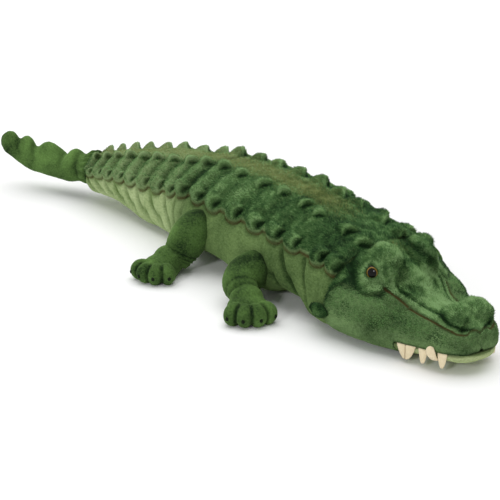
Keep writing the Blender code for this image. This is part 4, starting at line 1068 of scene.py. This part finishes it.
# %% Legs
LEG_PATHS = {
    "front_left": [(.0623, .0952, .0518), (.0644, .1170, .0435), (.0748, .1316, .0300),
                   (.0935, .1357, .0217)],
    "rear_left": [(-.0797, .0951, .0518), (-.0797, .1191, .0435), (-.0817, .1371, .0311),
                  (-.0837, .1471, .0217)]}
for end in ("front", "rear"):
    LEG_PATHS[f"{end}_right"] = [(x, -y, z) for x, y, z in LEG_PATHS[f"{end}_left"]]
LEG_NAMES = ("front_left", "front_right", "rear_left", "rear_right")
LEG_SHIFT = {
    "front": MM * np.array([(0, 0, -7), (0, 0, -7), (-4, 0, -7), (-3, 0, 0), (0, 0, 0),
                            (0, 0, 0)]),
    "rear": MM * np.array([(0, 0, 9), (0, 0, 9), (0, -9, 7), (0, -17, 2), (0, -20, 0),
                           (0, -20, 0)])}
LEG_RADII = {"front": MM * np.array([18, 27.5, 27.5, 24.5, 20.0, 16.5]),
             "rear": MM * np.array([20, 29.0, 28.5, 26.5, 22.5, 18.0])}
THIGH_SHADE = {"front": 0.35, "rear": 0.12}
KNEE_FOLDS = (0.66, 0.745, 0.83)
FOOT_YAW = {"front": math.radians(60.0), "rear": math.radians(25.0)}
FOOT_SIZE = {"front": 1.0, "rear": 0.95}
FOOT_BACK = {"front": 0.0, "rear": 0.005}
INSTEP_AHEAD = {"front": 0.004, "rear": -0.006}
TOE_FAN, CLEFT_FAN = np.radians((-46.0, -16.0, 14.0, 43.0)), np.radians((-32.5, -1.5, 29.5))
PAD_RADII, TOE_RADII = np.array([0.0315, 0.0285, 0.0205]), np.array([0.0174, 0.0142, 0.0166])
INSTEP_RADII, INSTEP_HIGH, PAD_HIGH = (0.026, 0.0235, 0.0215), 0.0195, 0.013
PAD_AHEAD, TOE_AHEAD, TOE_HIGH = 0.0192, 0.0300, 0.0148
CLAW_AHEAD, CLAW_DROP = 0.0168, 0.0012
CLAW_RADII, CLAW_TILT = (0.0030, 0.0024, 0.0017), math.radians(84)


def leg_way(name):
    """A leg's end of the body, its side as 1 or -1, and its line of points."""
    return name.split("_")[0], 1 if "left" in name else -1, np.array(LEG_PATHS[name])


def leg_tube(name):
    """The skin of one leg as a closed tube."""
    end, out, path = leg_way(name)
    hip = path[0] - np.array([0, out * 0.020, -0.002])
    ankle = path[-1] + (path[-1] - path[-2]) * 0.5 - np.array([0, 0, 0.004])
    line = np.concatenate([[hip], path, [ankle]]) + LEG_SHIFT[end] * np.array([1, out, 1])
    t = np.linspace(0, 1, len(line))
    fine = np.linspace(0, 1, int(54 / DETAIL))
    centre = np.stack([np.interp(fine, t, line[:, k]) for k in range(3)], 1)
    radius = np.interp(fine, t, LEG_RADII[end])
    for _ in range(int(20 / DETAIL)):
        centre[1:-1] = (centre[:-2] + 2 * centre[1:-1] + centre[2:]) / 4
        radius[1:-1] = (radius[:-2] + 2 * radius[1:-1] + radius[2:]) / 4
    ahead = unit(np.gradient(centre, axis=0))
    side = unit(np.cross(ahead, np.array([0.0, 0.0, 1.0])))
    top = np.cross(side, ahead)
    turn = np.linspace(0, 2 * math.pi, int(118 / DETAIL), endpoint=False)[None, :]
    out_way = side[:, None] * np.cos(turn)[..., None] + top[:, None] * np.sin(turn)[..., None]
    points = centre[:, None] + out_way * radius[:, None, None]
    share = fine[:, None]
    folds = sum(bell(share - at + 0.02 * np.sin(2 * turn), 0.018) for at in KNEE_FOLDS)
    relief = -0.0016 * folds * (0.35 + 0.65 * (0.5 - 0.5 * np.sin(turn)))
    relief = relief + 0.0012 * clumps(points, 0.026, 5) + 0.00028 * clumps(points, 0.0045, 9, 2)
    points = points + out_way * relief[..., None]
    points[..., 2] = np.clip(points[..., 2], FLOOR_GAP, None)
    # Painted shade in the knee folds, where the leg leaves the body and over the upper leg.
    painted_shade = (0.5 * folds + 0.6 * bell(share - 0.13, 0.06)
              + THIGH_SHADE[end] * (1 - step(share, 0.25, 0.55)))
    return closed_tube(f"{name}_leg_skin", points, {"painted_shade": np.clip(painted_shade, 0, 1)})


def make_foot(name):
    """A foot's skin, and the place and heading of each of its claws."""
    end, side, path = leg_way(name)
    yaw, size = FOOT_YAW[end], FOOT_SIZE[end]
    way = np.array([math.sin(yaw), side * math.cos(yaw), 0.0])
    turn = math.atan2(way[1], way[0])
    middle = path[-1] + way * PAD_AHEAD * size - FOOT_BACK[end] * np.array([1, side, 0])
    middle[2] = PAD_HIGH
    instep = path[-1] * [1, 1, 0] + [0, 0, INSTEP_HIGH] + way * INSTEP_AHEAD[end]
    lumps = [(middle, PAD_RADII * size, turn), (instep, INSTEP_RADII, turn)]
    claws = []
    for fan in TOE_FAN:
        toe_turn = turn + side * fan
        ahead = np.array([math.cos(toe_turn), math.sin(toe_turn), 0.0])
        place = middle + ahead * TOE_AHEAD * size
        place[2] = TOE_HIGH * size
        lumps.append((place, TOE_RADII * size, toe_turn))
        claws.append((place + (ahead * CLAW_AHEAD + [0, 0, -CLAW_DROP]) * size, ahead))
    bm = bmesh.new()
    for place, radii, lump_turn in lumps:
        matrix = (Matrix.Translation(place) @ Matrix.Rotation(lump_turn, 4, "Z")
                  @ Matrix.Diagonal((*radii, 1.0)))
        bmesh.ops.create_icosphere(bm, subdivisions=4, radius=1.0, matrix=matrix)
    mesh = bpy.data.meshes.new("lumps")
    bm.to_mesh(mesh)
    bm.free()
    points, normals, faces = melted(bpy.data.objects.new("lumps", mesh), 1.5 * MM * DETAIL, 5)

    crease = np.zeros(len(points))
    for fan in CLEFT_FAN:
        gap = turn + side * fan
        line = np.array([math.cos(gap), math.sin(gap)])
        flat = points[:, :2] - middle[:2]
        off = flat[:, 0] * line[1] - flat[:, 1] * line[0]
        crease = np.maximum(crease, bell(off, 0.0022) * step(flat @ line, 0.022, 0.032))
    relief = 0.0007 * clumps(points, 0.016, 5) + 0.00028 * clumps(points, 0.0045, 9, 2)
    points = points + normals * (relief - 0.0020 * crease)[:, None]
    points[:, 2] = np.clip(points[:, 2], FLOOR_GAP, None)
    # Painted shade in the clefts between the toes.
    return make_object(f"{name}_foot_skin", points, faces, {"painted_shade": 0.85 * crease}), claws


legs, feet, claw_places = {}, {}, {}
for name in LEG_NAMES:
    legs[name] = leg_tube(name)
    feet[name], claw_places[name] = make_foot(name)
    print(name, len(legs[name].data.polygons), len(feet[name].data.polygons))

# %% [markdown]
# Each claw is a small pad of dark thread stitched over the end of a toe.

# %% Claws


def dome_angles(first, last, rows, columns):
    """Angles from a dome's top down, one to a row, and round it, one to a column."""
    down = np.linspace(first, last, rows)[:, None]
    return down, np.linspace(0, 2 * math.pi, columns, endpoint=False)[None, :]


def make_claws(name):
    """Four little pads of dark satin stitches, as one object."""
    rows, columns = 9, 20
    down, around = dome_angles(0.02, math.pi - 0.02, rows, columns)
    ridge = 1 + 0.08 * np.cos(6 * around)
    x = np.sin(down) * np.cos(around) * CLAW_RADII[0] * ridge
    y = np.sin(down) * np.sin(around) * CLAW_RADII[1] * ridge
    z = np.cos(down) * CLAW_RADII[2] * np.ones_like(around)
    up = np.array([0, 0, 1.0])
    points, faces = [], []
    for number, (place, ahead) in enumerate(claw_places[name]):
        side = np.cross(up, ahead)
        nose = ahead * math.cos(CLAW_TILT) - up * math.sin(CLAW_TILT)
        face = ahead * math.sin(CLAW_TILT) + up * math.cos(CLAW_TILT)
        grid = place + x[..., None] * nose + y[..., None] * side + z[..., None] * face
        points.append(grid.reshape(-1, 3))
        start = number * rows * columns
        last = start + (rows - 1) * columns
        faces.append(grid_faces(rows, columns, True, False, start))
        faces += [np.stack([np.full(columns - 2, ring), ring + np.arange(2, columns) - turned,
                            ring + np.arange(1, columns - 1) + turned], -1)
                  for ring, turned in ((start, 1), (last, 0))]
    return make_object(f"{name}_claws", np.concatenate(points), faces)


claws = {name: make_claws(name) for name in LEG_NAMES}
print("claws:", sum(len(claw_places[name]) for name in LEG_NAMES))

# %% [markdown]
# The teeth are cut from cream felt. Each starts from the CAD tooth's own surface, remeshed and
# relaxed so that its edges are soft, and the wide wedge gets a groove down its middle, where its
# two panels are sewn together.

# %% Teeth
TOOTH_KINDS = ("wedge", "small", "lower", "front")


def make_tooth(side, kind):
    """One tooth of soft felt, from the CAD tooth's own surface."""
    thing = bpy.data.objects.new("felt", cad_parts[f"{side}_{kind}_tooth"].data.copy())
    points, normals, faces = melted(thing, 0.55 * MM * DETAIL, 4)
    flat = points[:, :2] - points.mean(0)[:2]
    run = np.linalg.svd(flat - flat.mean(0), full_matrices=False)[2][0]
    across, high = flat @ run, points[:, 2]
    if kind == "lower":
        plump = 0.55 * step(high, high.min() + 0.004, high.max() - 0.003)
        points[:, :2] += (across * plump)[:, None] * run
    groove = bell(across, 0.0008) * (kind == "wedge")
    relief = 0.00035 + 0.00012 * clumps(points, 0.0016, 4, 2) - 0.0010 * groove
    points = points + normals * relief[:, None]
    return make_object(f"{side}_{kind}_felt", points, faces, {"groove": groove})


teeth = {(side, kind): make_tooth(side, kind) for side in ("left", "right")
         for kind in TOOTH_KINDS}
print("teeth:", len(teeth))

# %% [markdown]
# A plush eye is a moulded plastic button: a clear dome with the amber ring and the wide pupil
# printed behind it. Here it is a turned dome whose rings carry their distance from the middle.

# %% Eyes


def make_eye(side):
    """A turned dome whose points carry their distance from its middle, from 0 to 2 at the back."""
    _, middle, look = eye_place(side)
    across = unit(np.cross(np.array([0.0, 0.0, 1.0]), look))
    up = np.cross(look, across)
    rows, columns = 30, 64
    down, around = dome_angles(0.0, math.pi * 0.62, rows, columns)
    down = down[1:]
    wide = np.sin(down) * EYE_RADIUS * np.ones_like(around)
    deep = np.cos(down) * EYE_BULGE * EYE_RADIUS * np.ones_like(around)
    grid = (middle + (wide * np.cos(around))[..., None] * across
            + (wide * np.sin(around))[..., None] * up + deep[..., None] * look)
    ends = middle + EYE_BULGE * EYE_RADIUS * look, middle - 0.3 * EYE_RADIUS * look
    count = (rows - 1) * columns
    ring = (wide / EYE_RADIUS + (down > math.pi / 2)).ravel()
    faces = [grid_faces(rows - 1, columns, True, True), cap_faces(np.arange(columns), count, True),
             cap_faces(np.arange(count - columns, count), count + 1)]
    eye = make_object("left_eye_dome" if side > 0 else "right_eye_dome",
                      np.concatenate([grid.reshape(-1, 3), ends]), faces,
                      {"ring": np.concatenate([ring, [0.0, 2.0]])})
    if Vector(look).dot(eye.data.polygons[0].normal) < 0:
        eye.data.flip_normals()
    return eye


eyes = {side: make_eye(side) for side in (1, -1)}
print("eyes:", [len(e.data.polygons) for e in eyes.values()])

# %% [markdown]
# One shader group makes every plush: short tufts in two sizes that turn from dark roots to light
# tips, patches where a hand has brushed the pile the other way, and pale flecks. It also reads
# the marks that the sculpting left in the meshes: hollows get painted shade, crests get a painted
# highlight, the stripe is olive and the seams are brown. Each material gives the group its own
# greens.

# %% The shared plush group


def linear(red, green, blue):
    """A colour written as 0 to 255 on a screen, as the linear values that Blender works in."""
    values = [v / 255 for v in (red, green, blue)]
    values = [v / 12.92 if v <= 0.04045 else ((v + 0.055) / 1.055) ** 2.4 for v in values]
    return (*values, 1.0)


def new_group(name, inputs, outputs):
    group = bpy.data.node_groups.new(name, "ShaderNodeTree")
    for socket, kind, value in inputs:
        made = group.interface.new_socket(socket, in_out="INPUT", socket_type=f"NodeSocket{kind}")
        if value is not None:
            made.default_value = value
    for socket, kind in outputs:
        group.interface.new_socket(socket, in_out="OUTPUT", socket_type=f"NodeSocket{kind}")
    return group, group.nodes.new("NodeGroupInput"), group.nodes.new("NodeGroupOutput")


class Tree:
    """Short words for adding and wiring nodes."""

    def __init__(self, tree):
        self.tree = tree

    def put(self, socket, value):
        if isinstance(value, bpy.types.NodeSocket):
            self.tree.links.new(value, socket)
        else:
            socket.default_value = value

    def maths(self, operation, *values, clamp=False):
        node = self.tree.nodes.new("ShaderNodeMath")
        node.operation, node.use_clamp = operation, clamp
        for socket, value in zip(node.inputs, values):
            self.put(socket, value)
        return node.outputs[0]

    def add(self, a, b, clamp=False):
        return self.maths("ADD", a, b, clamp=clamp)

    def times(self, a, b):
        return self.maths("MULTIPLY", a, b)

    def mix(self, factor, a, b, blend="MIX"):
        node = self.tree.nodes.new("ShaderNodeMix")
        node.data_type, node.blend_type, node.clamp_factor = "RGBA", blend, True
        self.put(node.inputs[0], factor)
        self.put(node.inputs[6], a)
        self.put(node.inputs[7], b)
        return node.outputs[2]

    def noise(self, where, scale, detail=2.0, rough=0.55):
        node = self.tree.nodes.new("ShaderNodeTexNoise")
        self.put(node.inputs["Vector"], where)
        self.put(node.inputs["Scale"], scale)
        node.inputs["Detail"].default_value = detail
        node.inputs["Roughness"].default_value = rough
        return node.outputs["Fac"]

    def mark(self, name):
        node = self.tree.nodes.new("ShaderNodeAttribute")
        node.attribute_name = name
        return node.outputs["Fac"]

    def place(self, stretch=(1.0, 1.0, 1.0)):
        node = self.tree.nodes.new("ShaderNodeVectorMath")
        node.operation = "MULTIPLY"
        self.put(node.inputs[0], self.tree.nodes.new("ShaderNodeTexCoord").outputs["Object"])
        node.inputs[1].default_value = stretch
        return node.outputs[0]

    def bump(self, height, strength, distance):
        node = self.tree.nodes.new("ShaderNodeBump")
        node.inputs["Strength"].default_value = strength
        node.inputs["Distance"].default_value = distance
        self.put(node.inputs["Height"], height)
        return node.outputs["Normal"]


BROWN_THREAD = linear(70, 50, 24)
# The tint of the painted shade, and how far the painted highlight and the painted shade move the
# tone.
PAINTED_SHADE_TINT = (0.30, 0.36, 0.30, 1)
TUFT_SHARE, HAIR_FINER, CREST_HIGHLIGHT_LIGHTER, PAINTED_SHADE_DARKER = 0.9, 4.3, 0.42, 0.40


def plush_group():
    """Short pile: takes two greens and how much of each effect, puts out a colour and a height."""
    group, given, result = new_group(
        "short plush pile",
        [("Roots", "Color", (0.02, 0.06, 0.02, 1)), ("Tips", "Color", (0.15, 0.3, 0.1, 1)),
         ("Tuft Scale", "Float", 230.0), ("Brushing", "Float", 0.9), ("Flecks", "Float", 0.2),
         ("Pale", "Float", 0.0)],
        [("Color", "Color"), ("Height", "Float")])
    t = Tree(group)
    given = given.outputs
    at = t.place((0.6, 1.0, 1.0))
    tufts = t.noise(at, given["Tuft Scale"], 3.0, 0.6)
    hairs = t.noise(at, t.times(given["Tuft Scale"], HAIR_FINER), 2.0, 0.7)
    brushed = t.noise(t.place(), 24.0, 2.0, 0.5)
    level = t.maths("MULTIPLY_ADD", t.maths("SUBTRACT", tufts, 0.5), TUFT_SHARE, 0.5)
    level = t.add(level, t.times(t.maths("SUBTRACT", hairs, 0.5), TUFT_SHARE))
    level = t.add(level, t.times(t.maths("SUBTRACT", brushed, 0.5), given["Brushing"]))
    # A painted highlight on crests and painted shade in hollows lighten and darken the tone.
    level = t.add(level, t.times(t.mark("tip"), CREST_HIGHLIGHT_LIGHTER))
    level = t.maths("SUBTRACT", level, t.times(t.mark("painted_shade"), PAINTED_SHADE_DARKER), clamp=True)
    colour = t.mix(level, given["Roots"], given["Tips"])
    for mark, share, dark, light in (("olive", 0.75, (48, 54, 24), (120, 124, 76)),
                                     ("pale", given["Pale"], (112, 138, 76), (196, 210, 160)),
                                     ("cheek", 0.7, (36, 58, 26), (104, 130, 82))):
        tone = t.mix(level, linear(*dark), linear(*light))
        colour = t.mix(t.times(t.mark(mark), share), colour, tone)
    fleck = t.maths("GREATER_THAN", t.noise(t.place(), 760.0, 1.0, 0.6), 0.60)
    colour = t.mix(t.times(fleck, given["Flecks"]), colour, linear(172, 196, 150))
    # More painted shade: the colour is multiplied darker where the cloth is marked as shaded.
    shaded = t.mix(1.0, colour, PAINTED_SHADE_TINT, "MULTIPLY")
    colour = t.mix(t.times(t.mark("painted_shade"), 0.62), colour, shaded)
    colour = t.mix(t.times(t.mark("seam"), 0.85), colour, BROWN_THREAD)
    t.put(result.inputs["Color"], colour)
    t.put(result.inputs["Height"], t.add(t.times(tufts, 0.65), t.times(hairs, 0.35)))
    return group


PLUSH = plush_group()
print("group:", PLUSH.name, "nodes:", len(PLUSH.nodes))

# %% [markdown]
# A plush material is the shared group between two greens, with a fine bump and a little sheen. The
# strands of the long pile get one plain tone each.

# %% Plush materials


def new_material(name, **values):
    """A material's shader and its words; the values go on the shader's sockets."""
    material = bpy.data.materials.new(name)
    material.use_nodes = True
    shader = material.node_tree.nodes["Principled BSDF"]
    for key, value in values.items():
        shader.inputs[key.replace("_", " ")].default_value = value
    return material, shader.inputs, Tree(material.node_tree)


def plush(name, roots, tips, tufts, brushing, flecks, bump=0.0011, pale=0.0):
    """A plush of the shared group with its own greens."""
    material, shader, t = new_material(
        name, Roughness=0.92, Specular_IOR_Level=0.10, Sheen_Weight=0.30, Sheen_Roughness=0.40,
        Sheen_Tint=linear(150, 186, 112))
    pile = material.node_tree.nodes.new("ShaderNodeGroup")
    pile.node_tree = PLUSH
    for key, value in (("Roots", linear(*roots)), ("Tips", linear(*tips)), ("Tuft Scale", tufts),
                       ("Brushing", brushing), ("Flecks", flecks), ("Pale", pale)):
        pile.inputs[key].default_value = value
    t.put(shader["Base Color"], pile.outputs["Color"])
    t.put(shader["Normal"], t.bump(pile.outputs["Height"], 0.9, bump))
    return material


BACK_PLUSH = plush("back plush", (14, 34, 14), (98, 132, 78), 330.0, 0.7, 0.05, 0.0011, 0.40)
BODY_PLUSH = plush("pale plush", (44, 68, 30), (118, 144, 86), 380.0, 0.95, 0.06, 0.0005, 0.85)
JAW_PLUSH = plush("lower jaw plush", (122, 140, 86), (194, 204, 156), 380.0, 0.4, 0.03, 0.0004)
HEAD_PLUSH = plush("head plush", (20, 42, 18), (104, 138, 86), 300.0, 2.0, 0.10)
LEG_PLUSH = plush("leg plush", (12, 34, 9), (96, 130, 66), 380.0, 1.6, 0.05, 0.0006)
TAIL_PLUSH = plush("tail plush", (10, 30, 8), (96, 130, 66), 380.0, 1.7, 0.03, 0.0004)


def strand(name, colour):
    """Strands are too thin to carry a pattern: their variety is in the tones and how they lie."""
    return new_material(name, Base_Color=linear(*colour), Roughness=0.75,
                        Specular_IOR_Level=0.10)[0]


STRAND_TONES = [strand(f"strand {k + 1}", colour) for k, colour in enumerate((
    (18, 44, 17), (40, 72, 34), (66, 100, 54), (96, 132, 76), (126, 160, 104),
    (72, 86, 38), (110, 122, 68)))]

# %% [markdown]
# Felt is pressed wool with no weave: cream, very rough, with fine fibres lying every way. Claws are
# satin stitches of dark thread, and the eye is glossy plastic with a printed ring.

# %% Felt, thread and plastic


def felt_material():
    material, shader, t = new_material("cream felt", Roughness=0.95, Sheen_Weight=0.2)
    fibres = t.noise(t.place(), 1500.0, 3.0, 0.7)
    soft = t.noise(t.place(), 240.0, 2.0, 0.5)
    level = t.add(t.times(fibres, 0.6), t.times(soft, 0.4))
    colour = t.mix(level, linear(206, 186, 142), linear(244, 232, 202))
    t.put(shader["Base Color"], t.mix(t.times(t.mark("groove"), 0.7), colour, linear(126, 98, 54)))
    t.put(shader["Normal"], t.bump(level, 0.6, 0.0003))
    return material


def mottled(name, stretch, noise_settings, dark, light, **values):
    """A material of two near tones in fine noise."""
    material, shader, t = new_material(name, **values)
    grain = t.noise(t.place(stretch), *noise_settings)
    t.put(shader["Base Color"], t.mix(grain, linear(*dark), linear(*light)))
    return material


EYE_STOPS = ((0.0, (3, 2, 2)), (0.64, (6, 4, 3)), (0.69, (88, 66, 18)), (0.76, (164, 132, 50)),
             (0.83, (98, 74, 22)), (0.88, (16, 12, 6)), (1.0, (8, 7, 6)))


def eye_material():
    """Glossy plastic: black pupil, amber ring with fine streaks, dark rim."""
    material, shader, t = new_material("eye plastic", Roughness=0.04, Specular_IOR_Level=0.16)
    ramp = material.node_tree.nodes.new("ShaderNodeValToRGB")
    elements = ramp.color_ramp.elements
    for _ in EYE_STOPS[2:]:
        elements.new(0.5)
    for element, (at, colour) in zip(elements, EYE_STOPS):
        element.position, element.color = at, linear(*colour)
    t.put(ramp.inputs["Fac"], t.mark("ring"))
    streaks = t.noise(t.place(), 900.0, 3.0, 0.7)
    streaks = t.mix(streaks, (0.35, 0.35, 0.35, 1), (1.3, 1.3, 1.3, 1))
    t.put(shader["Base Color"], t.mix(0.35, ramp.outputs["Color"], streaks, "MULTIPLY"))
    return material


EVEN = (1.0, 1.0, 1.0)
FELT, EYE_PLASTIC = felt_material(), eye_material()
THREAD = mottled("dark thread", (1.0, 1.0, 0.3), (1900.0, 2.0, 0.6), (8, 15, 7), (26, 37, 20),
                 Roughness=0.8, Specular_IOR_Level=0.1)
WASHER_PLASTIC = mottled("moulded washer", EVEN, (600.0,), (16, 16, 17), (34, 34, 36),
                         Roughness=0.5)
print("materials:", len(bpy.data.materials))

# %% [markdown]
# Each piece gets its materials, the CAD parts that it replaces are hidden, and the pieces that
# move with a body are tied to it.


def dress(piece, materials, nodes=(), body=None):
    """Gives a piece its materials, hides the CAD parts that it replaces, and ties it to the body it
    rides on.
    """
    for material in materials:
        piece.data.materials.append(material)
    if nodes:
        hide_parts(*nodes)
    if body:
        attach(piece, body)


dress(front_hide, [BACK_PLUSH], ("trunk_hide", "neck_hide"))
dress(rear_hide, [BACK_PLUSH], ("trunk_hide", "tail_root_hide"))
dress(front_body, [BODY_PLUSH], ("trunk", "neck"))
dress(rear_body, [BODY_PLUSH], ("trunk", "tail_root"))
dress(head_skin, [HEAD_PLUSH], ("head",), "head")
dress(jaw_skin, [JAW_PLUSH], ("lower_jaw",), "jaw")
dress(tail_end, [TAIL_PLUSH], ("tail_tip",))
dress(front_pile, STRAND_TONES)
dress(rear_pile, STRAND_TONES)
for thing in (head_pile, *scute_piles):
    dress(thing, STRAND_TONES, body="head")
for thing in scutes:
    dress(thing, [BACK_PLUSH], body="head")
for thing in (front_hide, front_body, front_pile):
    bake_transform(thing)
for thing in (rear_hide, rear_body, rear_pile):
    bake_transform(thing)
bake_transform(tail_end)
for name in LEG_NAMES:
    limb = f"{name}_limb"
    dress(legs[name], [LEG_PLUSH], (f"{name}_leg",))
    dress(feet[name], [LEG_PLUSH], (f"{name}_foot",), limb)
    dress(claws[name], [THREAD], body=limb)
    _, side, path = leg_way(name)
    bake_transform(legs[name])
for (side, kind), thing in teeth.items():
    dress(thing, [FELT], (f"{side}_{kind}_tooth",),
          "jaw" if kind == "lower" else "head")
for word, thing in zip(("left", "right"), eyes.values()):
    dress(thing, [EYE_PLASTIC], (f"{word}_eye",), "head")
    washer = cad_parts[f"{word}_eye_washer"]
    washer.data.materials.clear()
    washer.data.materials.append(WASHER_PLASTIC)

# %% [markdown]
# The photograph has a white sweep, a big soft light overhead and a gentle fill from the camera's
# side. The floor stays pale, and keeps the crocodile's shadow.

# %% Floor, light and camera


FLOOR_HALF = 40.0
FLOOR_CORNERS = FLOOR_HALF * np.array([[-1, -1, 0], [1, -1, 0], [1, 1, 0], [-1, 1, 0]])
floor = make_object("floor", FLOOR_CORNERS, [np.array([[0, 1, 2, 3]])])
floor.data.materials.append(mottled("white sweep", EVEN, (3.0,), (250, 250, 250), (253, 253, 253),
                                    Roughness=0.9, Specular_IOR_Level=0.0))

SKY_LIGHT = 0.40
world = bpy.data.worlds.new("studio")
world.use_nodes = True
bpy.context.scene.world = world
background = world.node_tree.nodes["Background"]
background.inputs["Color"].default_value = (1, 1, 1, 1)
sky = Tree(world.node_tree)
seen = world.node_tree.nodes.new("ShaderNodeLightPath").outputs
seen = sky.add(sky.add(seen["Is Camera Ray"], seen["Is Glossy Ray"]),
               seen["Is Transmission Ray"], clamp=True)
sky.put(background.inputs["Strength"], sky.add(sky.times(seen, 1 - SKY_LIGHT), SKY_LIGHT))


def soft_sun(name, place, wide_degrees, strength):
    """A lamp so far away that it lights the whole floor alike, its disc as wide as a soft box."""
    light = bpy.data.lights.new(name, "SUN")
    light.angle, light.energy = math.radians(wide_degrees), strength
    thing = bpy.data.objects.new(name, light)
    thing.rotation_euler = Vector(place).to_track_quat("Z", "Y").to_euler()
    bpy.context.scene.collection.objects.link(thing)


soft_sun("overhead", (-0.26, 0.16, 1.0), 84.0, 2.20)
soft_sun("fill", (0.60, -1.4, 0.75), 9.0, 0.72)

CAMERA_PLACE = Vector((1.9398, -1.4920, 1.0002))
CAMERA_AZIMUTH, CAMERA_HEIGHT = 0.935, 0.378
FOCAL_PIXELS, PHOTO_PIXELS, SENSOR = 1824.97, 500, 36
camera = bpy.data.objects.new("camera", bpy.data.cameras.new("camera"))
camera.data.sensor_width = SENSOR
camera.data.lens = FOCAL_PIXELS * SENSOR / PHOTO_PIXELS
camera.data.clip_end = 200
back = Vector((math.sin(CAMERA_AZIMUTH) * math.cos(CAMERA_HEIGHT),
               -math.cos(CAMERA_AZIMUTH) * math.cos(CAMERA_HEIGHT), math.sin(CAMERA_HEIGHT)))
right = Vector((math.cos(CAMERA_AZIMUTH), math.sin(CAMERA_AZIMUTH), 0))
turned = Matrix((right, back.cross(right), back)).transposed().to_4x4()
camera.matrix_world = Matrix.Translation(CAMERA_PLACE) @ turned
bpy.context.scene.collection.objects.link(camera)
bpy.context.scene.camera = camera
bpy.context.scene.view_settings.view_transform = "Standard"
